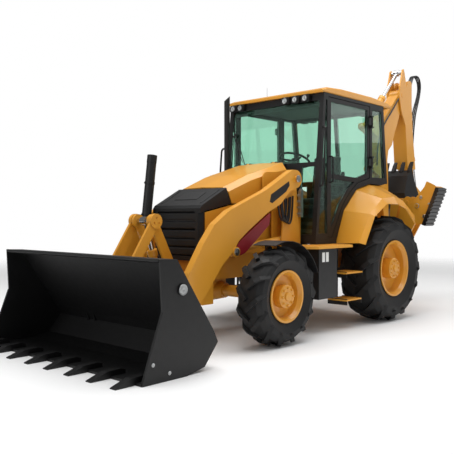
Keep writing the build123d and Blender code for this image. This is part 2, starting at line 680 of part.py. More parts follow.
with BuildPart() as rear_fenders:
    stations = []
    for turn, crest_r, fold_r, edge_r in FENDER:
        plane = Plane(
            origin=(0, 0, REAR_TYRE_R),
            x_dir=(0, 1, 0),
            z_dir=Vector(0, 1, 0).cross(Vector(cos(radians(turn)), 0, sin(radians(turn)))),
        )
        run = [
            (LOWER_HALF + SEAT_GAP, crest_r),
            (FENDER_CREST_Y, crest_r),
            (FENDER_FOLD_Y, fold_r),
            (FENDER_EDGE_Y, edge_r),
        ]
        stations.append(outline(plane, strip(run, -12)))
    loft(stations, ruled=True)
    both_sides()

with BuildPart() as side_steps:
    # platform, tank and steps of the left side
    deck = [(852, 606), (1780, 606), (1780, 700), (1560, 1000), (880, 1000)]
    level_slab(deck, 945, 975)
    block((1175, 1525), (560, 980), (395, 945))
    block((1245, 1525), (RAIL_OUT + SEAT_GAP, 562), (RAIL_LOW + 5, RAIL_LOW + 50))
    for z, x_low, x_high in ((660, 700, 1040), (350, 720, 1030)):
        level_slab([(x_low, 760), (x_high, 760), (x_high, 1020), (x_low, 1020)], z - 15, z)
        for x in (x_low, x_high - 8):
            block((x, x + 8), (760, 1020), (z - 60, z + 10))
    for x in (870, 1005):
        block((x, x + 12), (765, 795), (335, 946))
    block((735, 1180), (775, 787), (600, 700))
    both_sides()

with BuildPart() as seat:
    block((-60, 380), (-230, 230), (1430, 1540))
    backrest = [(-60, 1560), (60, 1560), (-40, 2130), (-150, 2130)]
    side_slab(backrest, -220, 220, radius=20)
    block((-40, 60), (-100, 100), (1530, 1570))
    block((-20, 340), (-170, 170), (CAB_FLOOR + SEAT_GAP, 1440))

with BuildPart() as controls:
    # steering column, wheel and loader lever on the right, digging levers behind the seat
    column = [(760, CAB_FLOOR + SEAT_GAP), (900, CAB_FLOOR + SEAT_GAP), (830, 1700), (740, 1920), (660, 1900)]
    side_slab(column, -90, 90, radius=8)
    with BuildSketch(Plane(origin=(660, 0, 2010), z_dir=(-0.45, 0, 1))):
        Circle(205)
        Circle(180, mode=Mode.SUBTRACT)
        Rectangle(370, 34)
        Rectangle(34, 370)
    extrude(amount=24)
    bar((720, 0, 1880), (662, 0, 2012), 26)
    block((-350, 420), (-520, -280), (CAB_FLOOR + SEAT_GAP, 1480))
    bar((300, -400, 1470), (340, -400, 1760), 14)
    bar((338, -400, 1740), (348, -400, 1830), 26)
    block((-330, -230), (-200, 200), (CAB_FLOOR + SEAT_GAP, 1600))
    for y in (-140, 140):
        bar((-280, y, 1590), (-250, y, 1850), 11)
        bar((-252, y, 1830), (-242, y, 1910), 24)

with BuildPart() as cab_trim:
    # work lamps under the roof's edges: two and three in front, four behind
    for y in (205, 355, 500, -515, -635):
        with BuildSketch(Plane(origin=(1082, y, 2686), x_dir=(0, 1, 0), z_dir=(1, 0, 0))):
            RectangleRounded(112, 88, 24)
        extrude(amount=46)
        block((1084, 1104), (y - 12, y + 12), (2725, ROOF_LOW - SEAT_GAP))
    for y in (-560, -420, 420, 560):
        with BuildSketch(Plane(origin=(-300, y, 2686), x_dir=(0, 1, 0), z_dir=(-1, 0, 0))):
            RectangleRounded(112, 88, 24)
        extrude(amount=60)
        block((-350, -330), (y - 12, y + 12), (2725, ROOF_LOW + 30 - SEAT_GAP))
    # grab rails on the corner posts
    face = CAB_HALF + SEAT_GAP
    pipe([(1125, -face, 1860), (1125, -868, 1860), (1094, -868, 2190), (1094, -face, 2190)], 12, 40)
    pipe([(1085, face, 2330), (1085, 764, 2330), (1140, 764, 1650), (1140, face, 1650)], 11, 20)

# ---- rear frame and stabilizers -------------------------------------------------------------

SWING_EAR_LOW, SWING_EAR_HIGH = (430, 500), (960, 1020)
SWING_PIN_R = 45

with BuildPart() as backhoe_frame:
    # two cross plates with boxes at their ends that hold the stabilizers
    block((-1230, -1200), (-520, 520), (400, 1080))
    block((-900, -872), (-520, 520), (400, 1080))
    block((-1230, -872), (-330, 330), (400, 425))
    block((-1230, -872), (-505, 505), (1055, 1080))
    for y in (-330, 300):
        block((-1200, -900), (y, y + 30), (425, 1055))
        pin(TIE_DOWN, TIE_DOWN_R, y - 1, y + 31, Mode.SUBTRACT)
    for side in (1, -1):
        low, high = sorted((side * RAIL_IN, side * RAIL_OUT))
        notch = (low - SEAT_GAP, high + SEAT_GAP), (RAIL_LOW - SEAT_GAP, RAIL_HIGH + SEAT_GAP)
        block((RAIL_REAR - SEAT_GAP, -870), *notch, Mode.SUBTRACT)
    # jaws for the swing pins, bolted to the rear plate; the swung frame's cheeks pass their waist
    jaw = [(-1230 - SEAT_GAP, 190), (-1245, 190), (-1290, 92), (SWING_X, 88)]
    jaw += [(px, -py) for px, py in reversed(jaw)]
    for low, high in (SWING_EAR_LOW, SWING_EAR_HIGH):
        level_slab(jaw, low, high)
        post(SWING_X, 0, SWING_PIN_R + 45, low, high)
        post(SWING_X, 0, SWING_PIN_R + PIN_FIT, low - 1, high + 1, Mode.SUBTRACT)
    # ears for the stabilizer rams, and the lower pivots
    for side in (1, -1):
        ear = [(side * 440, 1050), (side * 515, 1050), (side * 625, 1480), (side * 600, 1560), (side * 500, 1560)]
        for x_low, x_high in ((-1094, -1078), (-950, -934)):
            cross_slab(ear, x_low, x_high, radius=12)
        for spot, radius in ((RAM_PIN, 26), (LEG_PIVOT, 34)):
            with BuildSketch(Plane.YZ.offset(-1300)) as hole:
                with Locations((side * spot[0], spot[1])):
                    Circle(radius + PIN_FIT)
            extrude(hole.sketch, amount=500, mode=Mode.SUBTRACT)


def across(spot, radius, x_low, x_high, mode=Mode.ADD):
    """A round bar along the machine at a cross position (y, z)."""
    with BuildSketch(Plane.YZ.offset(x_low)) as end:
        with Locations(spot):
            Circle(radius)
    extrude(end.sketch, amount=x_high - x_low, mode=mode)


RAM_EYE = toward(LEG_PIVOT, FOOT_PIN, RAM_EYE_REACH)
STAB_X = (STAB_X_REAR + STAB_X_FRONT) / 2
LEG_PLATE = 20


def stabilizer_leg():
    """Left leg: two plates joined by a web, with the pins of its pivot and its foot."""
    with BuildPart() as part:
        plate = [(362, 520), (420, 490), (480, 540), (700, 900), (985, 1420), (960, 1510)]
        plate += [(740, 1580), (665, 1520), (610, 1250)]
        for x in (STAB_X_REAR, STAB_X_FRONT - LEG_PLATE):
            cross_slab(plate, x, x + LEG_PLATE, radius=25)
        web = [(700, 1010), (800, 1190), (700, 1420), (650, 1240)]
        cross_slab(web, STAB_X_REAR + 1, STAB_X_FRONT - 1)
        across(LEG_PIVOT, 34, -1230, -872)
        across(LEG_PIVOT, 66, STAB_X_REAR, STAB_X_FRONT)
        across(RAM_EYE, 70, STAB_X - 55, STAB_X + 55, Mode.SUBTRACT)
        across(FOOT_PIN, 26, STAB_X_REAR - 0, STAB_X_FRONT + 34)
        across((740, 1505), 26, STAB_X_FRONT - 1, STAB_X_FRONT + 14)
    return part.part


def stabilizer_foot():
    """Left foot: two scalloped plates outside the leg and a ribbed pad."""
    with BuildPart() as part:
        plate = [(880, 1205), (990, 1190), (1185, 1690), (1150, 1720), (1040, 1775), (1010, 1700), (840, 1500)]
        plate += [(835, 1400)]
        for x_low, x_high in ((STAB_X_FRONT + SIDE_GAP, STAB_X_FRONT + SIDE_GAP + 14),):
            cross_slab(plate, x_low, x_high, radius=14)
        back = [(1060, 1400), (1150, 1705), (1185, 1690), (990, 1190), (950, 1200)]
        cross_slab(back, STAB_X_REAR + 2, STAB_X_FRONT + SIDE_GAP + 14)
        across(FOOT_PIN, 26 + PIN_FIT, STAB_X_FRONT, STAB_X_FRONT + 60, Mode.SUBTRACT)
        pad = [(990, 1190), (1185, 1690), (1232, 1672), (1037, 1172)]
        cross_slab(pad, STAB_X_REAR + 2, STAB_X_FRONT + 60)
        rib_step = 52
        for i in range(10):
            start = toward((1037, 1172), (1232, 1672), 12 + i * rib_step)
            end = toward((1037, 1172), (1232, 1672), 38 + i * rib_step)
            rib = [start, end, (end[0] + 11, end[1] - 4), (start[0] + 11, start[1] - 4)]
            cross_slab(rib, STAB_X_REAR + 2, STAB_X_FRONT + 60)
    return part.part


def stabilizer_barrel():
    """Left ram's barrel, hung from the ears of the rear frame."""
    with BuildPart() as part:
        top, eye = (STAB_X, *RAM_PIN), (STAB_X, *RAM_EYE)
        mouth = (STAB_X, *toward(RAM_PIN, RAM_EYE, 560))
        bar(top, mouth, 44)
        across(RAM_PIN, 46, STAB_X - 40, STAB_X + 40)
        bar((STAB_X, *toward(RAM_PIN, RAM_EYE, 70)), mouth, 24 + PIN_FIT, Mode.SUBTRACT)
        across(RAM_PIN, 26, -1096, -932)
    return part.part


def stabilizer_rod():
    """Left ram's rod, with an eye and stub pin between the leg's plates."""
    with BuildPart() as part:
        bar((STAB_X, *toward(RAM_PIN, RAM_EYE, 110)), (STAB_X, *RAM_EYE), 24)
        across(RAM_EYE, 42, STAB_X - 34, STAB_X + 34)
        across(RAM_EYE, 22, STAB_X_REAR + LEG_PLATE + 6, STAB_X_FRONT - LEG_PLATE - 6)
    return part.part


for name, maker in (
    ("stabilizer_leg", stabilizer_leg),
    ("stabilizer_foot", stabilizer_foot),
    ("stabilizer_barrel", stabilizer_barrel),
    ("stabilizer_rod", stabilizer_rod),
):
    left = maker()
    keep(f"{name}_left", left)
    keep(f"{name}_right", left.mirror(Plane.XZ))

# ---- steering knuckles ----------------------------------------------------------------------


def knuckle():
    """Left steering knuckle: kingpin body, stub axle and the mudguard on its bracket."""
    x, z = FRONT_AXLE
    with BuildPart() as part:
        post(x, KINGPIN_Y, 56, z - 104, z + 104)
        post(x, KINGPIN_Y, KINGPIN_R, z - 140, z + 140)
        pin((x, z), 82, KINGPIN_Y + 20, FRONT_WHEEL_Y - 85)
        pin((x, z), FRONT_STUB_R, KINGPIN_Y, FRONT_WHEEL_Y + 90)
        # mudguard over the tyre, carried by a bracket behind the wheel
        guard_r = FRONT_TYRE_R + 55
        arc = [(x + guard_r * cos(radians(a)), z + guard_r * sin(radians(a))) for a in range(68, 160, 10)]
        side_slab(strip(arc, 7), 800, 1085)
        near = KINGPIN_Y + 27
        bracket = [(x - 50, z + 30), (x - 76, z + 30), (x - 90, z + guard_r - 9), (x - 50, z + guard_r - 9)]
        side_slab(bracket, near, near + 14)
        block((x - 90, x - 50), (near, 830), (z + guard_r - 19, z + guard_r - 5))
    return part.part


left = knuckle()
keep("knuckle_left", left)
keep("knuckle_right", left.mirror(Plane.XZ))

# ---- front loader ---------------------------------------------------------------------------

LEVER_IN, LEVER_OUT = 100, 130
LINK_IN, LINK_OUT = 136, 166
EAR_IN, EAR_OUT = (62, 94), (136, 160)
ARM_BOSS_R, HINGE_BOSS_R = 100, 68

ARM = [
    (1450, 1820), (1520, 1820), (1980, 1580), (2560, 1356), (2770, 1220), (2920, 1040),
    (3110, 760), (3215, 520), (3318, 285), (3250, 207), (3190, 232), (2960, 470), (2900, 530),
    (2665, 810), (2504, 943), (2415, 1050), (2270, 1150), (1957, 1337), (1730, 1434),
    (1570, 1575), (1400, 1630), (1350, 1720),
]
LIFT_BOSS_R = 52

with BuildPart() as loader_arms:
    side_slab(ARM, ARM_IN, ARM_OUT)
    pin(ARM_PIVOT, ARM_BOSS_R, ARM_IN, ARM_OUT)
    pin(BUCKET_HINGE, HINGE_BOSS_R, ARM_IN, ARM_OUT)
    for spot in (ARM_PIVOT, BUCKET_HINGE):
        pin(spot, ARM_PIN_R + PIN_FIT, ARM_IN - 1, ARM_OUT + 1, Mode.SUBTRACT)
    # boss of the lift cylinder's pin
    pin(LIFT_EYE, LIFT_BOSS_R, ARM_IN, ARM_OUT + 5)
    # gusset inside the arm, down to the cross tube
    gusset = [(2715, 430), (2870, 430), (2940, 520), (2800, 800), (2715, 800)]
    side_slab(gusset, ARM_IN - 30, ARM_IN + 5, radius=10)
    # brackets on the cross tube for the levers and the tilt cylinder
    inner = [(2760, 440), (2900, 435), (2970, 465), (2965, 540), (2905, 690), (2840, 745), (2770, 690)]
    outer = [(2730, 540), (2850, 540), (2905, 680), (2840, 745), (2775, 690)]
    side_slab(inner, *EAR_IN, radius=18)
    side_slab(outer, *EAR_OUT, radius=18)
    both_sides()
    pin(CROSS_TUBE, 68, -ARM_IN - 2, ARM_IN + 2)
    for side in (1, -1):
        for low, high in (EAR_IN, EAR_OUT):
            low, high = sorted((side * low, side * high))
            pin(LEVER_PIVOT, TILT_PIN_R + PIN_FIT, low - 1, high + 1, Mode.SUBTRACT)
            pin(TILT_BASE, TILT_PIN_R + PIN_FIT, low - 1, high + 1, Mode.SUBTRACT)

with BuildPart() as lift_brace:
    # safety brace stored under the left arm, flush with its outer face
    brace = [(2400, 1045), (1905, 1345), (1930, 1210), (2150, 1044), (2325, 920), (2455, 885), (2500, 938)]
    side_slab(brace, ARM_OUT - 40, ARM_OUT, radius=14)
    side_slab(inset(ARM, -SEAT_GAP), ARM_OUT - 41, ARM_OUT + 1, mode=Mode.SUBTRACT)
    pin(LIFT_EYE, LIFT_BOSS_R + SEAT_GAP, ARM_OUT - 41, ARM_OUT + 6, Mode.SUBTRACT)

with BuildPart() as loader_bucket:
    shell = [(3980, 960), (3800, 953), (3380, 330), (3330, 230), (3490, 40), (3680, 0), (4170, 0)]
    side_slab(strip(shell, BUCKET_SHEET), -BUCKET_HALF + 10, BUCKET_HALF - 10)
    side = [(3980, 960), (3800, 953), (3380, 330), (3330, 230), (3490, 40), (3680, 0), (4170, 0), (3960, 550)]
    wear = [(3960, 550), (3860, 470), (3700, 60), (3690, 0), (4170, 0)]
    for hand in (1, -1):
        low, high = sorted((hand * (BUCKET_HALF - 24), hand * (BUCKET_HALF - 8)))
        side_slab(side, low, high, radius=8)
        low, high = sorted((hand * (BUCKET_HALF - 10), hand * BUCKET_HALF))
        side_slab(wear, low, high)
        pin((3747, 706), 48, *sorted((hand * (BUCKET_HALF - 10), hand * (BUCKET_HALF + 6))))
        # ears of the arms' hinge and of the tilt links
        ear = [(3168, 275), (3250, 193), (3360, 190), (3400, 340), (3490, 480), (3440, 480), (3250, 357)]
        for near, far in ((ARM_IN - SIDE_GAP - 24, ARM_IN - SIDE_GAP), (ARM_OUT + SIDE_GAP, ARM_OUT + SIDE_GAP + 24)):
            low, high = sorted((hand * near, hand * far))
            side_slab(ear, low, high, radius=20)
        ear = [(3410, 720), (3440, 640), (3560, 590), (3700, 790), (3690, 820), (3560, 800), (3470, 792)]
        for near, far in ((LINK_IN - SIDE_GAP - 24, LINK_IN - SIDE_GAP), (LINK_OUT + SIDE_GAP, LINK_OUT + SIDE_GAP + 24)):
            low, high = sorted((hand * near, hand * far))
            side_slab(ear, low, high, radius=16)
            pin(LINK_PIN, TILT_PIN_R + PIN_FIT, low - 1, high + 1, Mode.SUBTRACT)
    # hinge pins, which turn in the arms' bosses
    for hand in (1, -1):
        low, high = sorted((hand * (ARM_IN - SIDE_GAP - 24), hand * (ARM_OUT + SIDE_GAP + 32)))
        pin(BUCKET_HINGE, ARM_PIN_R, low, high)
    # teeth on the cutting edge
    tooth = [(4020, 4), (4020, 50), (4070, 66), (4205, 60), (TOOTH_TIP, 8), (TOOTH_TIP, 0), (4100, 0)]
    for i in range(LOADER_TEETH):
        y = -1090 + i * 2180 / (LOADER_TEETH - 1)
        side_slab(tooth, y - 34, y + 34)

with BuildPart() as tilt_levers:
    side_slab(tapered(LEVER_PIVOT, APEX, 58, 50), LEVER_IN, LEVER_OUT)
    pin(LEVER_PIVOT, 60, LEVER_IN, LEVER_OUT)
    pin(APEX, 70, LEVER_IN, LEVER_OUT)
    pin(LEVER_PIVOT, TILT_PIN_R, EAR_IN[0], EAR_OUT[1])
    both_sides()

with BuildPart() as tilt_links:
    side_slab(tapered(APEX, LINK_PIN, 50, 50), LINK_IN, LINK_OUT)
    pin(APEX, 74, LINK_IN, LINK_OUT + 8)
    for i in range(3):
        turn = radians(90 + i * 120)
        spot = (APEX[0] + 34 * cos(turn), APEX[1] + 34 * sin(turn))
        pin(spot, 10, LINK_OUT, LINK_OUT + 9, Mode.SUBTRACT)
    pin(LINK_PIN, 54, LINK_IN, LINK_OUT)
    pin(LINK_PIN, TILT_PIN_R, LINK_IN - SIDE_GAP - 24, LINK_OUT + SIDE_GAP + 24)
    both_sides()

with BuildPart() as tilt_barrel:
    cylinder_barrel(TILT_BASE, APEX, 0, 46, 24, 40, 480, TILT_PIN_R, -EAR_IN[1], EAR_IN[1])

with BuildPart() as tilt_rod:
    cylinder_rod(TILT_BASE, APEX, 0, 24, 345, 46, 38, TILT_PIN_R, -EAR_IN[1], EAR_IN[1])

LIFT_Y = (TOWER_IN + TOWER_OUT) / 2 + 4
with BuildPart() as lift_barrels:
    cylinder_barrel(LIFT_BASE, LIFT_EYE, LIFT_Y, 38, 22, 60, 925, TILT_PIN_R, TOWER_IN, TOWER_OUT)
    both_sides()

with BuildPart() as lift_rods:
    cylinder_rod(LIFT_BASE, LIFT_EYE, LIFT_Y, 22, 70, 46, 26, TILT_PIN_R, LIFT_Y - 30, ARM_IN - 6)
    both_sides()

# ---- digging arm ----------------------------------------------------------------------------

JAW_IN, JAW_OUT = 95, 125
STICK_IN, STICK_OUT = 93, 115
TIP_HALF = 58
TIE_IN, TIE_OUT = 64, 84
GUIDE_IN, GUIDE_OUT = 90, 108
HOE_EAR_IN, HOE_EAR_OUT = 90, 112
FOOT_PIN_R, HOE_PIN_R = 38, 30

with BuildPart() as swing_frame:
    low, high = SWING_EAR_LOW[1] + EAR_GAP, SWING_EAR_HIGH[0] - EAR_GAP
    post(SWING_X, 0, 92, low, high)
    post(SWING_X, 0, SWING_PIN_R, SWING_EAR_LOW[0] - 12, SWING_EAR_HIGH[1])
    block((-1500, SWING_X), (-JAW_OUT, JAW_OUT), (520, 930))
    cheek = [
        (-1440, 520), (-1540, 530), (-1690, 930), (-1690, 1040), (-1640, 1100), (-1440, 1275),
        (-1350, 1280), (-1292, 1215), (-1300, 1040), (-1520, 1034), (-1520, 940), (-1440, 930),
    ]
    side_slab(cheek, JAW_IN, JAW_OUT)
    side_slab(cheek, -JAW_OUT, -JAW_IN)
    for spot, radius in ((BOOM_FOOT, FOOT_PIN_R), (BOOM_CYL_BASE, HOE_PIN_R)):
        pin(spot, radius + PIN_FIT, -JAW_OUT - 1, JAW_OUT + 1, Mode.SUBTRACT)

with BuildPart() as boom:
    curve = [
        (-1664, 980), (-1612, 1350), (-1600, 1720), (-1590, 1965), (-1570, 2160), (-1600, 2310),
        (-1710, 2400), (-1790, 2590), (-1880, 2750), (-2065, 3160), (-1990, 3285), (-1900, 3192),
        (-1610, 2930), (-1380, 2750), (-1262, 2560), (-1235, 2300), (-1310, 2060), (-1375, 1720),
        (-1455, 1400), (-1540, 980), (-1600, 930),
    ]
    side_slab(curve, -BOOM_HALF, BOOM_HALF)
    pin(BOOM_FOOT, 70, -BOOM_HALF - 5, BOOM_HALF + 5)
    # channel in the front that the boom's cylinder folds into
    channel = [(-1600, 686), (-1377, 2110), (-1100, 2110), (-1100, 686)]
    side_slab(channel, -CHANNEL_HALF, CHANNEL_HALF, mode=Mode.SUBTRACT)
    pin(BOOM_FOOT, 56, -CHANNEL_HALF - 1, CHANNEL_HALF + 1)
    pin(STICK_PIVOT, 85, -BOOM_HALF, BOOM_HALF)
    pin(BOOM_FOOT, FOOT_PIN_R, -JAW_OUT - 4, JAW_OUT + 4)
    pin(STICK_PIVOT, FOOT_PIN_R, -STICK_OUT - 4, STICK_OUT + 4)
    # ears for the boom cylinder's rod and the stick cylinder's barrel
    for low, high in ((62, BOOM_HALF), (-BOOM_HALF, -62)):
        side_slab([(-1345, 1900), (-1235, 1945), (-1155, 2000), (-1200, 2075), (-1300, 2140)], low, high, radius=12)
        ear = [(-1300, 2480), (-1110, 2560), (-1000, 2600), (-1010, 2670), (-1075, 2690), (-1360, 2720)]
        side_slab(ear, low, high, radius=20)
        pin(STICK_CYL_BASE, HOE_PIN_R + PIN_FIT, low - 1, high + 1, Mode.SUBTRACT)

with BuildPart() as boom_barrel:
    cylinder_barrel(BOOM_CYL_BASE, BOOM_CYL_EYE, 0, 48, 28, 60, 735, HOE_PIN_R, -JAW_OUT, JAW_OUT)

with BuildPart() as boom_rod:
    cylinder_rod(BOOM_CYL_BASE, BOOM_CYL_EYE, 0, 28, 75, 50, 45, HOE_PIN_R, -56, 56)

with BuildPart() as stick:
    plate = [
        (-2045, 3570), (-2020, 3612), (-1985, 3590), (-1960, 3500), (-1905, 3330), (-1890, 3170),
        (-1950, 2950), (-2085, 2750), (-2105, 2600), (-2150, 2190), (-2180, 2030), (-2400, 1480),
        (-2420, 1400), (-2520, 1400), (-2545, 1460), (-2500, 1800), (-2430, 2040), (-2330, 2640),
        (-2290, 3100), (-2290, 3430), (-2230, 3460), (-2150, 3440), (-2120, 3340),
    ]
    side_slab(plate, STICK_IN, STICK_OUT)
    side_slab(plate, -STICK_OUT, -STICK_IN)
    box = [(-2060, 2960), (-2085, 2750), (-2105, 2600), (-2150, 2190), (-2180, 2030), (-2330, 1650)]
    box += [(-2465, 1700), (-2430, 2040), (-2330, 2640), (-2290, 2900), (-2250, 3080), (-2215, 3140)]
    side_slab(box, -STICK_IN - 1, STICK_IN + 1)
    pin(STICK_PIVOT, FOOT_PIN_R + PIN_FIT, -STICK_OUT - 1, STICK_OUT + 1, Mode.SUBTRACT)
    pin(CURL_BASE, HOE_PIN_R + PIN_FIT, -STICK_OUT - 1, STICK_OUT + 1, Mode.SUBTRACT)
    # the tip is narrow, between the links and the bucket's ears
    block((-2600, -2100), (TIP_HALF, STICK_OUT + 1), (1300, 2060), Mode.SUBTRACT)
    block((-2600, -2100), (-STICK_OUT - 1, -TIP_HALF), (1300, 2060), Mode.SUBTRACT)
    tip = [(-2330, 1660), (-2400, 1480), (-2420, 1400), (-2520, 1400), (-2545, 1460), (-2470, 1700)]
    side_slab(tip, -TIP_HALF, TIP_HALF)
    for spot in (HOE_PIVOT, GUIDE_PIVOT):
        pin(spot, HOE_PIN_R + PIN_FIT, -STICK_OUT - 1, STICK_OUT + 1, Mode.SUBTRACT)

with BuildPart() as stick_barrel:
    cylinder_barrel(STICK_CYL_BASE, HORN_PIN, 0, 50, 26, 50, 704, HOE_PIN_R, -BOOM_HALF, BOOM_HALF)

with BuildPart() as stick_rod:
    cylinder_rod(STICK_CYL_BASE, HORN_PIN, 0, 26, 645, 48, 45, HOE_PIN_R, -STICK_IN + 6, STICK_IN - 6)

with BuildPart() as curl_barrel:
    cylinder_barrel(CURL_BASE, LINK_KNEE, 0, 46, 24, 60, 1230, HOE_PIN_R, -STICK_OUT, STICK_OUT)

with BuildPart() as curl_rod:
    cylinder_rod(CURL_BASE, LINK_KNEE, 0, 24, 1150, 44, 40, HOE_PIN_R, -TIE_IN + 6, TIE_IN - 6)

with BuildPart() as guide_link:
    side_slab(tapered(GUIDE_PIVOT, LINK_KNEE, 38, 38), GUIDE_IN, GUIDE_OUT)
    pin(GUIDE_PIVOT, 46, GUIDE_IN, GUIDE_OUT)
    pin(LINK_KNEE, 46, GUIDE_IN, GUIDE_OUT)
    side_slab(tapered(GUIDE_PIVOT, LINK_KNEE, 38, 38), -GUIDE_OUT, -GUIDE_IN)
    pin(GUIDE_PIVOT, 46, -GUIDE_OUT, -GUIDE_IN)
    pin(LINK_KNEE, 46, -GUIDE_OUT, -GUIDE_IN)
    pin(GUIDE_PIVOT, HOE_PIN_R, -GUIDE_OUT, GUIDE_OUT)

with BuildPart() as tie_link:
    for low, high in ((TIE_IN, TIE_OUT), (-TIE_OUT, -TIE_IN)):
        side_slab(tapered(LINK_KNEE, TIE_PIN, 36, 36), low, high)
        pin(LINK_KNEE, 42, low, high)
        pin(TIE_PIN, 42, low, high)
    pin(TIE_PIN, HOE_PIN_R, -HOE_EAR_OUT, HOE_EAR_OUT)

with BuildPart() as hoe_bucket:
    shell = [(-1950, 2020), (-1800, 1925), (-1702, 1660), (-1800, 1420), (-2050, 1282), (-2350, 1290)]
    shell += [(-2425, 1320)]
    side_slab(strip(shell, -HOE_SHEET), -HOE_HALF + 4, HOE_HALF - 4)
    side = [*shell, (-2420, 1500), (-2180, 1620), (-2020, 1860)]
    for hand in (1, -1):
        low, high = sorted((hand * (HOE_HALF - 16), hand * HOE_HALF))
        side_slab(side, low, high, radius=10)
        low, high = sorted((hand * HOE_EAR_IN, hand * HOE_EAR_OUT))
        ear = [(-2370, 1300), (-2400, 1215), (-2451, 1185), (-2505, 1230), (-2530, 1450), (-2470, 1515)]
        ear += [(-2420, 1500), (-2250, 1320), (-2250, 1290)]
        side_slab(ear, low, high, radius=12)
        pin(TIE_PIN, HOE_PIN_R + PIN_FIT, low - 1, high + 1, Mode.SUBTRACT)
    pin(HOE_PIVOT, HOE_PIN_R, -HOE_EAR_OUT, HOE_EAR_OUT)
    tooth = [(-1880, 1966), (-1962, 2018), (-2008, 2140), (-1994, 2152), (-1950, 2110), (-1890, 2012)]
    for i in range(HOE_TEETH):
        y = (i - (HOE_TEETH - 1) / 2) * (2 * HOE_HALF - 60) / (HOE_TEETH - 1)
        side_slab(tooth, y - 24, y + 24)

# ---- write the pieces out ---------------------------------------------------------------------

for name in (
    "main_frame", "front_axle", "rear_axle", "engine", "nose_grille", "side_panels", "hood",
    "exhaust_stacks", "cab_frame", "cab_roof", "cab_glass", "cab_trim", "rear_fenders",
    "side_steps", "seat", "controls", "backhoe_frame", "loader_arms", "lift_brace",
    "loader_bucket", "tilt_levers", "tilt_links", "tilt_barrel", "tilt_rod", "lift_barrels",
    "lift_rods", "swing_frame", "boom", "boom_barrel", "boom_rod", "stick", "stick_barrel",
    "stick_rod", "curl_barrel", "curl_rod", "guide_link", "tie_link", "hoe_bucket",
):
    keep(name, globals()[name].part)

whole = Compound(children=[Compound([piece]) for piece in pieces.values()]).bounding_box()
SHIFT = (whole.min.X + whole.max.X) / 2
if __name__ == "__main__":
    os.makedirs("parts", exist_ok=True)
    for name, piece in pieces.items():
        moved = piece.moved(Location((-SHIFT, 0, 0)))
        moved.label = name
        export_step(moved, f"parts/{name}.step")
    print(f"{len(pieces)} pieces; origin {SHIFT:.3f} ahead of the rear axle")
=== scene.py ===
from math import atan2, cos, hypot, pi, radians, sin

import bmesh
import bpy
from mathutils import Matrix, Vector


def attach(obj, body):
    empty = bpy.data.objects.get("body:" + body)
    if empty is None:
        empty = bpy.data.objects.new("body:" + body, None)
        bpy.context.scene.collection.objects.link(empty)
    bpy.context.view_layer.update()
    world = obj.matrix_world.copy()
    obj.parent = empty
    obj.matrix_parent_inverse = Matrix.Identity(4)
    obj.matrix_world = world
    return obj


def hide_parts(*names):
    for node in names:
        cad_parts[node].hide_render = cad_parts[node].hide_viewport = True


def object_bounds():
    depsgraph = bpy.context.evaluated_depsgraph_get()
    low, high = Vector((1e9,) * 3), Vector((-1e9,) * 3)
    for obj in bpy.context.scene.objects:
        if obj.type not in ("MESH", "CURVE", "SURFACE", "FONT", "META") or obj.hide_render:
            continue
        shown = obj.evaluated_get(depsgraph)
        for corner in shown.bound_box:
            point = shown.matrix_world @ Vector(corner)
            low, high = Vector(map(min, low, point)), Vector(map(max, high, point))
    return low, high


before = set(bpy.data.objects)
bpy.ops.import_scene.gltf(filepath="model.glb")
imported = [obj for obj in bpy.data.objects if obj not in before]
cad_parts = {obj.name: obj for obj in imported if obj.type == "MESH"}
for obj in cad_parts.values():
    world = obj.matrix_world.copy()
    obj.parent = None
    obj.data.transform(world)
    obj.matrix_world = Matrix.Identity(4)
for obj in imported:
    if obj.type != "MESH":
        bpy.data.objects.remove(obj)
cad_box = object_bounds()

# Lengths are in millimetres, measured from the ground under the middle of the rear axle; the
# frame's origin lies this far ahead of it.
AXLE_TO_MIDDLE = 817


def at(x, y, z):
    """A point of the machine in metres in the frame, from millimetres round the rear axle."""
    return Vector(((x - AXLE_TO_MIDDLE) / 1000, y / 1000, z / 1000))


# ---- finishes ---------------------------------------------------------------------------------


def linear(code):
    """An sRGB hex colour as linear light, with full cover."""
    parts = [int(code[i : i + 2], 16) / 255 for i in (1, 3, 5)]
    return (*[c / 12.92 if c <= 0.04045 else ((c + 0.055) / 1.055) ** 2.4 for c in parts], 1)


def add(tree, kind, inputs=(), **settings):
    """Add a node with its settings, and set or link its inputs."""
    node = tree.nodes.new(kind)
    for key, value in settings.items():
        setattr(node, key, value)
    for socket, value in dict(inputs).items():
        if isinstance(value, bpy.types.NodeSocket):
            tree.links.new(value, node.inputs[socket])
        else:
            node.inputs[socket].default_value = value
    return node


def blank(name):
    """A material with an empty tree, and the machine's own coordinates in metres."""
    material = bpy.data.materials.new(name)
    material.use_nodes = True
    tree = material.node_tree
    tree.nodes.clear()
    return material, tree, add(tree, "ShaderNodeTexCoord").outputs["Object"]


def per_metre(size_mm):
    """Pattern scale for features of a real size."""
    return 1000 / size_mm


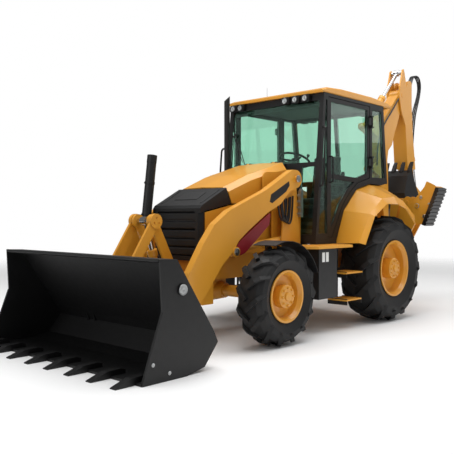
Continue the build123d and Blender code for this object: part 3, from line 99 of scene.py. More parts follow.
def enamel(name, colour, shade, rough, peel_mm=5, peel=0.10, coat=0.35, film=None):
    """Sprayed enamel on steel: a faint orange peel in the gloss and clouds of film thickness."""
    material, tree, place = blank(name)
    clouds = add(tree, "ShaderNodeTexNoise", {"Vector": place, "Scale": per_metre(420), "Detail": 3})
    waves = {"Vector": place, "Scale": per_metre(peel_mm), "Detail": 2}
    peel_waves = add(tree, "ShaderNodeTexNoise", waves)
    dust = add(tree, "ShaderNodeTexNoise", {"Vector": place, "Scale": per_metre(60), "Detail": 6})
    tint = add(
        tree,
        "ShaderNodeMix",
        {"Factor": clouds.outputs["Fac"], "A": linear(colour), "B": linear(shade)},
        data_type="RGBA",
    )
    paint = tint.outputs["Result"]
    if film:
        paint = film(tree, place, paint)
    gloss = add(
        tree,
        "ShaderNodeMapRange",
        {"Value": dust.outputs["Fac"], "To Min": rough - 0.05, "To Max": rough + 0.08},
    )
    skin = add(
        tree,
        "ShaderNodeBump",
        {"Height": peel_waves.outputs["Fac"], "Strength": peel, "Distance": 0.0006},
    )
    steel = add(
        tree,
        "ShaderNodeBsdfPrincipled",
        {
            "Base Color": paint,
            "Roughness": gloss.outputs["Result"],
            "Normal": skin.outputs["Normal"],
            "Coat Weight": coat,
            "Coat Roughness": 0.12,
            "IOR": 1.5,
        },
    )
    add(tree, "ShaderNodeOutputMaterial", {"Surface": steel.outputs[0]})
    return material


YELLOW, YELLOW_SHADE = "#DE9C30", "#D39128"
BLACK, BLACK_SHADE = "#101011", "#161617"
# the side steps, in metres: underside of the deck, middles of the treads' edges with half their
# depth, and the back of the tank
DECK_LOW, TREAD_MIDDLES, TREAD_REACH, TANK_BACK = 0.944, (0.6525, 0.3425), 0.0095, 0.243
# back of the stabilizer's pad: a point on it (across, up) and the direction it faces
PAD_SPOT, PAD_FACES, PAINT_EDGE = (0.990, 1.190), (0.931, -0.363), 0.0015


def yellow_treads(tree, place, paint):
    """The deck and the step treads are yellow, the tank and the step plates black."""
    axes = add(tree, "ShaderNodeSeparateXYZ", {"Vector": place}).outputs
    mask = add(tree, "ShaderNodeMath", {0: axes["Z"], 1: DECK_LOW}, operation="GREATER_THAN")
    behind = add(tree, "ShaderNodeMath", {0: axes["X"], 1: TANK_BACK}, operation="LESS_THAN")
    for middle in TREAD_MIDDLES:
        level = {0: axes["Z"], 1: middle, 2: TREAD_REACH}
        band = add(tree, "ShaderNodeMath", level, operation="COMPARE")
        tread = {0: band.outputs[0], 1: behind.outputs[0]}
        tread = add(tree, "ShaderNodeMath", tread, operation="MULTIPLY")
        mask = {0: mask.outputs[0], 1: tread.outputs[0]}
        mask = add(tree, "ShaderNodeMath", mask, operation="MAXIMUM")
    colours = {"Factor": mask.outputs[0], "A": paint, "B": linear(YELLOW)}
    return add(tree, "ShaderNodeMix", colours, data_type="RGBA").outputs["Result"]


def black_pads(tree, place, paint):
    """The stabilizer's ground pad is black, its plates yellow."""
    axes = add(tree, "ShaderNodeSeparateXYZ", {"Vector": place}).outputs
    out = add(tree, "ShaderNodeMath", {0: axes["Y"]}, operation="ABSOLUTE").outputs[0]
    across = {0: out, 1: PAD_FACES[0], 2: -PAD_SPOT[0] * PAD_FACES[0] - PAD_SPOT[1] * PAD_FACES[1]}
    across = add(tree, "ShaderNodeMath", across, operation="MULTIPLY_ADD").outputs[0]
    depth = {0: axes["Z"], 1: PAD_FACES[1], 2: across}
    depth = add(tree, "ShaderNodeMath", depth, operation="MULTIPLY_ADD").outputs[0]
    mask = add(tree, "ShaderNodeMath", {0: depth, 1: PAINT_EDGE}, operation="GREATER_THAN")
    colours = {"Factor": mask.outputs[0], "A": paint, "B": linear(BLACK)}
    return add(tree, "ShaderNodeMix", colours, data_type="RGBA").outputs["Result"]


# gloss enamel on welded steel: warm, bright edges and soft reflections
yellow_enamel = enamel("yellow_enamel", YELLOW, YELLOW_SHADE, 0.36)
# the same enamel in dark red, on the lift brace
red_enamel = enamel("red_enamel", "#8E1522", "#7C101B", 0.38)
# satin black powder coat: grey-black with a fine pebble that spreads the highlights
black_powder_coat = enamel("black_powder_coat", BLACK, BLACK_SHADE, 0.52, peel_mm=3, peel=0.22, coat=0.06)
# thick matt black paint of a digging bucket, dulled by its primer
bucket_black = enamel("bucket_black", "#080809", "#0D0D0E", 0.5, peel_mm=9, peel=0.25, coat=0.03)
# deck, treads and tank in one node: yellow treads on black steel
deck_paint = enamel("deck_paint", BLACK, BLACK_SHADE, 0.5, peel_mm=4, coat=0.1, film=yellow_treads)
# stabilizer shoe: yellow plates with a black pad
shoe_paint = enamel("shoe_paint", YELLOW, YELLOW_SHADE, 0.4, film=black_pads)
# white vinyl label stock: flat and bright
label_vinyl = enamel("label_vinyl", "#DDDDDA", "#E6E6E3", 0.42, peel_mm=2, peel=0.03, coat=0)


def rubber(name, colour, shade, grain_mm, rough):
    """Vulcanised rubber: sooty, with a fine moulded grain and paler dusty patches."""
    material, tree, place = blank(name)
    grain = add(tree, "ShaderNodeTexNoise", {"Vector": place, "Scale": per_metre(grain_mm), "Detail": 4})
    dust = add(tree, "ShaderNodeTexNoise", {"Vector": place, "Scale": per_metre(90), "Detail": 5})
    soot = add(
        tree,
        "ShaderNodeMix",
        {"Factor": dust.outputs["Fac"], "A": linear(colour), "B": linear(shade)},
        data_type="RGBA",
    )
    matt = add(
        tree,
        "ShaderNodeMapRange",
        {"Value": grain.outputs["Fac"], "To Min": rough - 0.07, "To Max": rough + 0.07},
    )
    skin = add(
        tree, "ShaderNodeBump", {"Height": grain.outputs["Fac"], "Strength": 0.3, "Distance": 0.001}
    )
    body = add(
        tree,
        "ShaderNodeBsdfPrincipled",
        {
            "Base Color": soot.outputs["Result"],
            "Roughness": matt.outputs["Result"],
            "Normal": skin.outputs["Normal"],
            "IOR": 1.52,
        },
    )
    add(tree, "ShaderNodeOutputMaterial", {"Surface": body.outputs[0]})
    return material


# tyre rubber: nearly black, only its shoulders catch light
tyre_rubber = rubber("tyre_rubber", "#0F0F10", "#161617", 3, 0.66)
# hydraulic hose: smoother extruded rubber with a satin streak of light
hose_rubber = rubber("hose_rubber", "#121213", "#1A1A1C", 2, 0.42)
# moulded polypropylene of the cab: dark warm grey with a leather-like grain
cab_plastic = rubber("cab_plastic", "#3A3C3B", "#434544", 2.5, 0.6)
# lighter grey plastic of the column and wheel
wheel_plastic = rubber("wheel_plastic", "#5D625F", "#666B68", 2.5, 0.5)
# matt black plastic of lamp housings, wipers and seals
trim_plastic = rubber("trim_plastic", "#151516", "#1D1D1E", 2, 0.5)


def bare_metal(name, colour, rough, streak_mm):
    """Machined or plated steel: fine turning streaks in the reflection."""
    material, tree, place = blank(name)
    stretched = add(tree, "ShaderNodeMapping", {"Vector": place, "Scale": (1, 12, 1)})
    streaks = add(
        tree,
        "ShaderNodeTexNoise",
        {"Vector": stretched.outputs["Vector"], "Scale": per_metre(streak_mm), "Detail": 3},
    )
    polish = add(
        tree,
        "ShaderNodeMapRange",
        {"Value": streaks.outputs["Fac"], "To Min": rough - 0.04, "To Max": rough + 0.08},
    )
    skin = add(
        tree, "ShaderNodeBump", {"Height": streaks.outputs["Fac"], "Strength": 0.06, "Distance": 0.0004}
    )
    metal = add(
        tree,
        "ShaderNodeBsdfPrincipled",
        {
            "Base Color": linear(colour),
            "Metallic": 1,
            "Roughness": polish.outputs["Result"],
            "Normal": skin.outputs["Normal"],
        },
    )
    add(tree, "ShaderNodeOutputMaterial", {"Surface": metal.outputs[0]})
    return material


# hard chrome on the cylinder rods: bright mirror with faint rings
hard_chrome = bare_metal("hard_chrome", "#D4D6D8", 0.14, 6)
# zinc-plated pins, caps and nuts: paler and duller
zinc_plate = bare_metal("zinc_plate", "#B4B6B6", 0.34, 4)


def tinted_glass(name, colour):
    """Toughened safety glass: clear, with a green tint and faint waves from its quenching."""
    material, tree, place = blank(name)
    waves = add(tree, "ShaderNodeTexNoise", {"Vector": place, "Scale": per_metre(260), "Detail": 1})
    skin = add(
        tree, "ShaderNodeBump", {"Height": waves.outputs["Fac"], "Strength": 0.02, "Distance": 0.002}
    )
    pane = add(
        tree,
        "ShaderNodeBsdfPrincipled",
        {
            "Base Color": linear(colour),
            "Roughness": 0.01,
            "Transmission Weight": 1,
            "IOR": 1.45,
            "Normal": skin.outputs["Normal"],
        },
    )
    add(tree, "ShaderNodeOutputMaterial", {"Surface": pane.outputs[0]})
    return material


cab_pane = tinted_glass("cab_pane", "#C4E8D8")
# clear polycarbonate lens of a work lamp
lamp_lens = tinted_glass("lamp_lens", "#F4F6F6")


def woven_seat(name, colour, thread, thread_mm):
    """Seat cloth: a plain weave of two near greys, drawn about three times coarser to show."""
    material, tree, place = blank(name)
    warp = add(
        tree,
        "ShaderNodeTexWave",
        {"Vector": place, "Scale": per_metre(thread_mm) / 6, "Distortion": 0.6},
        bands_direction="Y",
    )
    weft = add(
        tree,
        "ShaderNodeTexWave",
        {"Vector": place, "Scale": per_metre(thread_mm) / 6, "Distortion": 0.6},
        bands_direction="Z",
    )
    weave = add(
        tree, "ShaderNodeMath", {0: warp.outputs["Fac"], 1: weft.outputs["Fac"]}, operation="MULTIPLY"
    )
    cloth = add(
        tree,
        "ShaderNodeMix",
        {"Factor": weave.outputs[0], "A": linear(colour), "B": linear(thread)},
        data_type="RGBA",
    )
    nap = add(tree, "ShaderNodeBump", {"Height": weave.outputs[0], "Strength": 0.4, "Distance": 0.001})
    pad = add(
        tree,
        "ShaderNodeBsdfPrincipled",
        {
            "Base Color": cloth.outputs["Result"],
            "Roughness": 0.85,
            "Sheen Weight": 0.3,
            "Sheen Roughness": 0.5,
            "Normal": nap.outputs["Normal"],
        },
    )
    add(tree, "ShaderNodeOutputMaterial", {"Surface": pad.outputs[0]})
    return material


# tightly woven suspension-seat cloth: soft dark grey that lifts at grazing angles
seat_cloth = woven_seat("seat_cloth", "#303433", "#454A48", 4)

FINISHES = {
    yellow_enamel: (
        "main_frame front_axle rear_axle side_panels hood cab_roof rear_fenders loader_arms backhoe_frame "
        "swing_frame boom stick tilt_levers tilt_links guide_link tie_link stabilizer_leg_left "
        "stabilizer_leg_right rim_front_left rim_front_right rim_rear_left rim_rear_right lift_barrels "
        "tilt_barrel boom_barrel stick_barrel curl_barrel stabilizer_barrel_left stabilizer_barrel_right"
    ),
    red_enamel: "lift_brace",
    black_powder_coat: (
        "nose_grille cab_frame exhaust_stacks cab_trim door_left door_right engine knuckle_left knuckle_right"
    ),
    bucket_black: "loader_bucket hoe_bucket",
    deck_paint: "side_steps",
    shoe_paint: "stabilizer_foot_left stabilizer_foot_right",
    cab_pane: "cab_glass door_glass_left door_glass_right",
    tyre_rubber: "tyre_front_left tyre_front_right tyre_rear_left tyre_rear_right",
    hard_chrome: (
        "tilt_rod lift_rods boom_rod stick_rod curl_rod stabilizer_rod_left stabilizer_rod_right"
    ),
    cab_plastic: "seat controls",
}
# folded and flame-cut edges are eased by this much, so that they catch the light
EASED = {
    "hood": 9, "side_panels": 4, "nose_grille": 6, "cab_roof": 10, "rear_fenders": 7, "loader_arms": 5,
    "loader_bucket": 3, "boom": 6, "stick": 3, "swing_frame": 4, "tilt_levers": 4, "tilt_links": 4,
    "cab_frame": 4, "door_left": 4, "door_right": 4, "side_steps": 3, "main_frame": 3, "hoe_bucket": 2,
    "stabilizer_leg_left": 3, "stabilizer_leg_right": 3, "stabilizer_foot_left": 3,
    "stabilizer_foot_right": 3, "tyre_front_left": 6, "tyre_front_right": 6, "tyre_rear_left": 7,
    "tyre_rear_right": 7, "lift_brace": 3,
}  # fmt: skip
for finish, names in FINISHES.items():
    for name in names.split():
        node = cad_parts[name]
        node.data.materials.clear()
        node.data.materials.append(finish)
for name, width in EASED.items():
    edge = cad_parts[name].modifiers.new("eased", "BEVEL")
    edge.width, edge.segments, edge.limit_method = width / 1000, 2, "ANGLE"
    edge.angle_limit = radians(28)

# ---- making pieces ----------------------------------------------------------------------------


def piece(name, fill, material, body, ease_mm=0, steps=2, smooth=False):
    """Draw a piece, with its edges eased, and put it on a body of the machine."""
    mesh = mesh_of(name, fill)
    made = bpy.data.objects.new(name, mesh)
    bpy.context.scene.collection.objects.link(made)
    mesh.materials.append(material)
    if smooth:
        mesh.polygons.foreach_set("use_smooth", [True] * len(mesh.polygons))
    if ease_mm:
        edge = made.modifiers.new("eased", "BEVEL")
        edge.width, edge.segments, edge.limit_method = ease_mm / 1000, steps, "ANGLE"
        edge.angle_limit = radians(32)
    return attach(made, body)


def mesh_of(name, fill):
    """A mesh filled by a function that draws into a bmesh."""
    mesh, draw = bpy.data.meshes.new(name), bmesh.new()
    fill(draw)
    bmesh.ops.recalc_face_normals(draw, faces=draw.faces)
    draw.to_mesh(mesh)
    draw.free()
    return mesh


def slab(draw, outline, low, high, put):
    """A closed slab: an outline of pairs, between two distances; put makes a point of the three."""
    ends = [[draw.verts.new(put(a, b, level)) for a, b in outline] for level in (low, high)]
    draw.faces.new(ends[0])
    draw.faces.new(list(reversed(ends[1])))
    for i in range(len(outline)):
        j = (i + 1) % len(outline)
        draw.faces.new((ends[0][i], ends[0][j], ends[1][j], ends[1][i]))


def side_point(x, z, y):
    return at(x, y, z)


def plan_point(x, y, z):
    return at(x, y, z)


def turned(draw, profile, centre, direction, sides=32):
    """A turned form: pairs of distance along the axis and radius."""
    axis = Vector(direction).normalized()
    across = axis.orthogonal().normalized()
    up = axis.cross(across)
    rings = []
    for along, radius in profile:
        middle = centre + axis * along / 1000
        if radius == 0:
            rings.append([draw.verts.new(middle)])
            continue
        turns = [2 * pi * i / sides for i in range(sides)]
        rings.append(
            [draw.verts.new(middle + (across * cos(t) + up * sin(t)) * radius / 1000) for t in turns]
        )
    for near, far in zip(rings, rings[1:]):
        for i in range(sides):
            j = (i + 1) % sides
            corners = [near[i % len(near)], near[j % len(near)], far[j % len(far)], far[i % len(far)]]
            draw.faces.new(list(dict.fromkeys(corners)))


def tube(name, route, diameter, material, body):
    """A round tube or hose along a smooth route of points."""
    line = bpy.data.curves.new(name, "CURVE")
    line.dimensions, line.bevel_depth, line.bevel_resolution = "3D", diameter / 2000, 5
    line.resolution_u, line.use_fill_caps = 10, True
    spline = line.splines.new("NURBS")
    spline.points.add(len(route) - 1)
    for point, spot in zip(spline.points, route):
        point.co = (*spot, 1)
    spline.order_u, spline.use_endpoint_u = 3, True
    line.materials.append(material)
    made = bpy.data.objects.new(name, line)
    bpy.context.scene.collection.objects.link(made)
    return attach(made, body)


def front_x(z):
    """Forward position of the cab's leaning front plane at a height."""
    return 1230 - (z - 1010) * 164 / 1725


# ---- nose and hood ----------------------------------------------------------------------------


def louvres(draw):
    """Five deep sloping louvres across the nose, over the radiator."""
    low, pitch, half = 892, 91, 284
    for i in range(5):
        z = low + i * pitch
        blade = [(2684, z + 2), (2706, z + 6), (2712, z + 16), (2714, z + 72), (2700, z + 84)]
        blade += [(2684, z + 84)]
        slab(draw, blade, -half, half, side_point)


piece("nose_louvres", louvres, black_powder_coat, "chassis", 3)


def nose_plate(draw):
    """A bare plate let into the sloping top of the nose."""
    (rear_x, rear_z), (fore_x, fore_z) = (2355, 1590), (2670, 1422)
    length = hypot(fore_x - rear_x, rear_z - fore_z)
    along, fall = (fore_x - rear_x) / length, (rear_z - fore_z) / length

    def on_slope(u, v, lift):
        return at(rear_x + u * along + lift * fall, v, rear_z - u * fall + lift * along)

    slab(draw, [(70, -150), (70, 150), (250, 170), (250, -170)], 1, 5, on_slope)
    for y in (-300, 300):
        slab(draw, [(20, y - 9), (20, y + 9), (330, y + 9), (330, y - 9)], 0, 5, on_slope)


piece("nose_plate", nose_plate, trim_plastic, "chassis", 2)


def stack_bands(draw):
    """Clamp bands and the bracket bolts of the exhaust stack."""
    foot, top = Vector(at(2800, -391, 1180)), Vector(at(2702, -391, 1955))
    lean = top - foot
    for share in (0.18, 0.62):
        middle = foot + lean * share
        turned(draw, [(-14, 52), (-14, 56), (14, 56), (14, 52)], middle, lean, 40)
        turned(draw, [(0, 9), (18, 9), (18, 0)], middle + Vector((0.056, 0, 0)), (1, 0, 0), 6)


piece("stack_bands", stack_bands, black_powder_coat, "chassis", 1)

# ---- cab --------------------------------------------------------------------------------------

LAMPS_FRONT = (205, 355, 500, -515, -635)
LAMPS_REAR = (-560, -420, 420, 560)


def lamp_bezels(draw):
    for y in LAMPS_FRONT:
        turned(draw, [(0, 40), (7, 42), (9, 40), (9, 35), (2, 33)], at(1128, y, 2686), (1, 0, 0), 36)
    for y in LAMPS_REAR:
        turned(draw, [(0, 40), (7, 42), (9, 40), (9, 35), (2, 33)], at(-360, y, 2686), (-1, 0, 0), 36)


def lamp_dishes(draw):
    """Bright reflector dishes with the small lamp in the middle."""
    dish = [(3, 35), (1, 20), (0.5, 9), (5, 8), (6, 0)]
    for y in LAMPS_FRONT:
        turned(draw, dish, at(1128.5, y, 2686), (1, 0, 0), 36)
    for y in LAMPS_REAR:
        turned(draw, dish, at(-360.5, y, 2686), (-1, 0, 0), 36)


def lamp_lenses(draw):
    """Clear lenses, a little domed."""
    lens = [(6, 35), (9, 30), (10.5, 20), (11.5, 8), (11.8, 0)]
    for y in LAMPS_FRONT:
        turned(draw, lens, at(1128, y, 2686), (1, 0, 0), 36)
    for y in LAMPS_REAR:
        turned(draw, lens, at(-360, y, 2686), (-1, 0, 0), 36)


piece("lamp_bezels", lamp_bezels, trim_plastic, "chassis", smooth=True)
piece("lamp_dishes", lamp_dishes, zinc_plate, "chassis", smooth=True)
piece("lamp_lenses", lamp_lenses, lamp_lens, "chassis", smooth=True)


def headliner(draw):
    """Moulded lining under the roof, with a lowered rim and a band above the windscreen."""
    lining = [(-285, 2731), (-285, 2700), (-200, 2688), (940, 2688), (1010, 2676), (1040, 2676)]
    lining += [(1040, 2731)]
    slab(draw, lining, -675, 675, side_point)
    top, foot = 2648, 2580
    band = [(front_x(top) - 24, top), (front_x(foot) - 24, foot), (front_x(foot) - 30, foot)]
    band += [(front_x(top) - 52, 2676)]
    slab(draw, band, -665, 665, side_point)


piece("headliner", headliner, cab_plastic, "chassis", 5)


def floor_mat(draw):
    """Floor mat with raised ribs."""
    slab(draw, [(-330, -540), (-330, 540), (1170, 540), (1170, -540)], 1012, 1020, plan_point)
    for i in range(14):
        x = 470 + i * 48
        slab(draw, [(x, -500), (x, 500), (x + 22, 500), (x + 22, -500)], 1020, 1025, plan_point)


piece("cab_floor_mat", floor_mat, trim_plastic, "chassis", 1)


def wipers(draw):
    """Two parked wipers: pivots, arms and ribbed blades on the right of the windscreen."""
    for y_top, z_top, y_foot, z_foot in ((-628, 2330, -452, 1985), (-600, 2350, -505, 2010)):
        top, foot = at(front_x(z_top) + 10, y_top, z_top), at(front_x(z_foot) + 14, y_foot, z_foot)
        run = foot - top
        turned(draw, [(0, 16), (16, 15), (22, 9), (22, 0)], top - Vector((0.006, 0, 0)), (1, 0, 0), 20)
        reach = run.length * 1000
        turned(draw, [(0, 0), (0, 7), (reach, 4), (reach, 0)], top, run, 8)
    blade_top, blade_foot = at(front_x(2260) + 4, -560, 2260), at(front_x(1955) + 4, -420, 1955)
    blade = blade_foot - blade_top
    reach = blade.length * 1000
    turned(draw, [(0, 0), (0, 6), (reach, 6), (reach, 0)], blade_top, blade, 6)


piece("wipers", wipers, trim_plastic, "chassis")


def aerial(draw):
    """A tall and a short aerial on the roof."""
    tall = [(0, 14), (8, 13), (26, 6), (30, 2.2), (170, 1.6), (172, 0)]
    short = [(0, 12), (8, 11), (22, 5), (24, 2), (110, 1.6), (112, 0)]
    turned(draw, tall, at(700, -420, 2818), (0, 0, 1), 16)
    turned(draw, short, at(120, 380, 2818), (0, 0, 1), 16)


piece("aerials", aerial, trim_plastic, "chassis", smooth=True)


def column(draw):
    """Steering column with its shroud, and the pedestal it stands on."""
    shroud = [(760, 1020), (900, 1020), (862, 1500), (812, 1760), (742, 1925), (668, 1905)]
    shroud += [(690, 1780), (745, 1500)]
    slab(draw, shroud, -82, 82, side_point)
    dash = [(668, 1905), (742, 1925), (800, 1960), (780, 2000), (700, 1965), (655, 1940)]
    slab(draw, dash, -140, 140, side_point)


piece("steering_column", column, wheel_plastic, "chassis", 14, 3)


def steering_wheel(draw):
    """Padded rim with three spokes and a spinner knob, tipped towards the seat."""
    centre, lean = at(650, 0, 2020), Vector((-0.45, 0, 1)).normalized()
    across = Vector((0, 1, 0))
    up = lean.cross(across)
    rim_r, grip_r, sides, grips = 0.192, 0.0145, 48, 10
    rings = []
    for i in range(sides):
        turn = 2 * pi * i / sides
        out = across * cos(turn) + up * sin(turn)
        spots = [2 * pi * k / grips for k in range(grips)]
        ring = [centre + out * (rim_r + grip_r * cos(s)) + lean * grip_r * sin(s) for s in spots]
        rings.append([draw.verts.new(spot) for spot in ring])
    for i in range(sides):
        near, far = rings[i], rings[(i + 1) % sides]
        for k in range(grips):
            j = (k + 1) % grips
            draw.faces.new((near[k], near[j], far[j], far[k]))
    for angle in (90, 210, 330):
        out = across * cos(radians(angle)) + up * sin(radians(angle))
        turned(draw, [(0, 0), (0, 26), (60, 15), (186, 12), (186, 0)], centre - lean * 0.02, out, 10)
    turned(draw, [(-60, 0), (-60, 30), (-14, 46), (6, 44), (14, 30), (16, 0)], centre, lean, 28)
    knob = [(8, 0), (8, 9), (30, 10), (46, 20), (62, 18), (66, 0)]
    turned(draw, knob, centre + across * rim_r, lean, 18)


piece("steering_wheel", steering_wheel, trim_plastic, "chassis", smooth=True)


def consoles(draw):
    """Side console on the right and the digging console behind the seat, with armrests."""
    side = [(-345, 1020), (418, 1020), (440, 1300), (410, 1470), (300, 1500), (-250, 1500), (-345, 1420)]
    slab(draw, side, -515, -290, side_point)
    rear = [(-330, 1020), (-235, 1020), (-215, 1420), (-235, 1600), (-330, 1610)]
    slab(draw, rear, -195, 195, side_point)
    slab(draw, [(-20, 1700), (300, 1690), (316, 1712), (300, 1738), (-20, 1744)], 245, 300, side_point)


def levers(draw):
    """Loader lever on the right console and the two digging levers, with rubber boots and grips."""
    for foot, tip in (
        (at(300, -400, 1490), at(345, -400, 1830)),
        (at(-280, -140, 1600), at(-245, -140, 1910)),
        (at(-280, 140, 1600), at(-245, 140, 1910)),
    ):
        run = (tip - foot).length * 1000
        boot = [(0, 0), (0, 46), (14, 40), (22, 42), (34, 30), (42, 31), (56, 16), (66, 9)]
        grip = [(run - 100, 9), (run - 92, 20), (run - 60, 23), (run - 20, 25), (run, 17), (run + 2, 0)]
        turned(draw, boot + grip, foot, tip - foot, 20)


side_consoles = piece("side_consoles", consoles, cab_plastic, "chassis", 16, 3)
piece("levers", levers, trim_plastic, "chassis", smooth=True)
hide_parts("controls")

# ---- seat -------------------------------------------------------------------------------------


def finished_mesh(made):
    """The mesh that a piece has after its modifiers."""
    seen = made.evaluated_get(bpy.context.evaluated_depsgraph_get())
    return bpy.data.meshes.new_from_object(seen)


def cushion(name, outline, half, voxel, cap):
    """A stuffed cushion: its block remeshed, blown up as cloth and held to a small swelling."""
    mesh = mesh_of(name, lambda draw: slab(draw, outline, -half, half, side_point))
    made = bpy.data.objects.new(name, mesh)
    bpy.context.scene.collection.objects.link(made)
    bpy.context.view_layer.objects.active = made
    edge = made.modifiers.new("rounded", "BEVEL")
    edge.width, edge.segments = 0.028, 3
    grid = made.modifiers.new("grid", "REMESH")
    grid.mode, grid.voxel_size = "VOXEL", voxel / 1000
    made.data = finished_mesh(made)
    made.modifiers.clear()
    before = [v.co.copy() for v in made.data.vertices]
    cloth = made.modifiers.new("stuffing", "CLOTH")
    cloth.settings.use_pressure, cloth.settings.uniform_pressure_force = True, 4
    cloth.settings.effector_weights.gravity = 0
    cloth.settings.quality = 5
    for step in range(1, 21):
        bpy.context.scene.frame_set(step)
    swollen = finished_mesh(made)
    made.modifiers.clear()
    bpy.context.scene.frame_set(1)
    for vertex, start, end in zip(made.data.vertices, before, swollen.vertices):
        move = end.co - start
        vertex.co = start + move * min(1, cap / 1000 / max(move.length, 1e-9))
    return made


def sewn(made, channels, depth, lengthwise):
    """Press sewn channels into a cushion at distances across or along it."""
    for vertex in made.data.vertices:
        where = vertex.co.y * 1000 if lengthwise else vertex.co.z * 1000
        near = min(abs(where - c) for c in channels)
        if near < 16:
            vertex.co -= vertex.normal * depth / 1000 * (1 - near / 16) ** 2


seat_pad = cushion("seat_cushion", [(-40, 1450), (372, 1462), (380, 1530), (-40, 1524)], 216, 9, 12)
sewn(seat_pad, (-120, 120), 9, True)
seat_rest = cushion("seat_backrest", [(-52, 1566), (40, 1560), (-46, 2120), (-136, 2116)], 206, 9, 12)
sewn(seat_rest, (1700, 1880, 2010), 9, False)
for pad in (seat_pad, seat_rest):
    pad.data.materials.append(seat_cloth)
    pad.data.polygons.foreach_set("use_smooth", [True] * len(pad.data.polygons))
    smoother = pad.modifiers.new("fine", "SUBSURF")
    smoother.levels = smoother.render_levels = 1
    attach(pad, "chassis")


def seat_base(draw):
    """Bellows and slide rails of the suspension seat."""
    folds = [(1028, 150), (1080, 172), (1130, 150), (1180, 172), (1230, 150), (1280, 172)]
    folds += [(1330, 150), (1400, 165)]
    for (low, near), (high, far) in zip(folds, folds[1:]):
        ring = [(160 - near, -near), (160 + near, -near), (160 + near, near), (160 - near, near)]
        top = [(160 - far, -far), (160 + far, -far), (160 + far, far), (160 - far, far)]
        first = [draw.verts.new(at(x, y, low)) for x, y in ring]
        second = [draw.verts.new(at(x, y, high)) for x, y in top]
        for i in range(4):
            j = (i + 1) % 4
            draw.faces.new((first[i], first[j], second[j], second[i]))
    slab(draw, [(-40, -200), (360, -200), (360, 200), (-40, 200)], 1400, 1446, plan_point)
    slab(draw, [(-30, 1446), (20, 1446), (30, 1600), (-8, 1600)], -120, 120, side_point)


seat_stand = piece("seat_stand", seat_base, cab_plastic, "chassis")
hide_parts("seat")

# ---- wheels -----------------------------------------------------------------------------------

# axle, forward place and height of the wheel's centre, its middle across, the hub's face beyond it,
# number of nuts and radius of their circle
WHEELS = (
    ("front", 2200, 500, 940, 136, 8, 88),
    ("rear", 0, 655, 864, 200, 10, 96),
)


def wheel_nuts(x, z, y, face, count, circle, side):
    """Nuts round the hub, and the hub's cap."""

    def fill(draw):
        out = (0, side, 0)
        hub_face = side * (y + face)
        for i in range(count):
            turn = 2 * pi * i / count
            spot = at(x + circle * cos(turn), hub_face, z + circle * sin(turn))
            turned(draw, [(0, 13), (9, 13), (11, 8), (17, 8), (17, 0)], spot, out, 6)
        turned(draw, [(0, 46), (10, 45), (16, 36), (18, 0)], at(x, hub_face, z), out, 36)

    return fill


for which, x, z, y, face, count, circle in WHEELS:
    for side, side_name in ((1, "left"), (-1, "right")):
        name = f"hub_nuts_{which}_{side_name}"
        fill = wheel_nuts(x, z, y, face, count, circle, side)
        piece(name, fill, yellow_enamel, f"wheel_{which}_{side_name}")

# ---- loader -----------------------------------------------------------------------------------


def bucket_caps(draw):
    """Pressed caps of the wear plates' studs, with their washers."""
    for side in (1, -1):
        face = side * 1211
        for x, z, r, sunk, rim in ((3747, 706, 46, 0, 4), (4060, 150, 17, 8, 3), (3890, 60, 17, 8, 3)):
            rings = [(0, r), (rim, r * 0.96), (3, r * 0.7), (5, r * 0.62), (5, r * 0.3), (3, 0)]
            turned(draw, rings, at(x, face - side * sunk, z), (0, side, 0), 36)


def pin_caps(spots):
    """End caps of pins: a disc with a bolted keeper."""

    def fill(draw):
        for x, z, y, r in spots:
            for side in (1, -1):
                turned(
                    draw,
                    [(0, r), (8, r), (11, r * 0.86), (11, r * 0.34), (18, r * 0.34), (18, 0)],
                    at(x, side * y, z),
                    (0, side, 0),
                    32,
                )

    return fill


def foot_pins(side):
    """Bright pin ends on the scalloped plate of a stabilizer's foot."""

    def fill(draw):
        for y, z, r in ((905, 1445, 34), (1010, 1300, 26), (960, 1560, 22), (1075, 1470, 15)):
            rings = [(0, r), (6, r), (9, r * 0.8), (9, r * 0.3), (14, r * 0.3), (14, 0)]
            turned(draw, rings, at(-900, side * y, z), (1, 0, 0), 28)

    return fill


for side, side_name in ((1, "left"), (-1, "right")):
    name = f"foot_pins_{side_name}"
    piece(name, foot_pins(side), zinc_plate, f"stabilizer_foot_{side_name}")

piece("bucket_caps", bucket_caps, zinc_plate, "loader_bucket")
piece("arm_pin_caps", pin_caps([(1450, 1720, 646, 40)]), zinc_plate, "chassis")
piece("lift_pin_caps", pin_caps([(2455, 938, 625, 38)]), zinc_plate, "loader_arms")


def edge_bar(draw):
    """Raised bar along the top edge of the loader bucket."""
    bar = [(3792, 948), (3985, 962), (3985, 940), (3960, 928), (3800, 925)]
    slab(draw, bar, -1180, 1180, side_point)


piece("bucket_edge_bar", edge_bar, bucket_black, "loader_bucket", 3)


def badge_place(draw):
    """A bare panel, let into the outer face of each loader arm."""
    panel = [(1585, 1690), (1900, 1535), (1925, 1455), (1880, 1440), (1640, 1570), (1575, 1640)]
    for side in (1, -1):
        low, high = sorted((side * 620, side * 621.5))
        slab(draw, panel, low, high, side_point)


piece("arm_panels", badge_place, black_powder_coat, "loader_arms", 1)


def blank_labels(draw):
    """Bare labels on the face of each tank."""
    for side in (1, -1):
        low, high = sorted((side * 980.2, side * 981))
        for x in (1340, 1412):
            slab(draw, [(x, 800), (x + 52, 800), (x + 52, 905), (x, 905)], low, high, side_point)


piece("blank_labels", blank_labels, label_vinyl, "chassis")


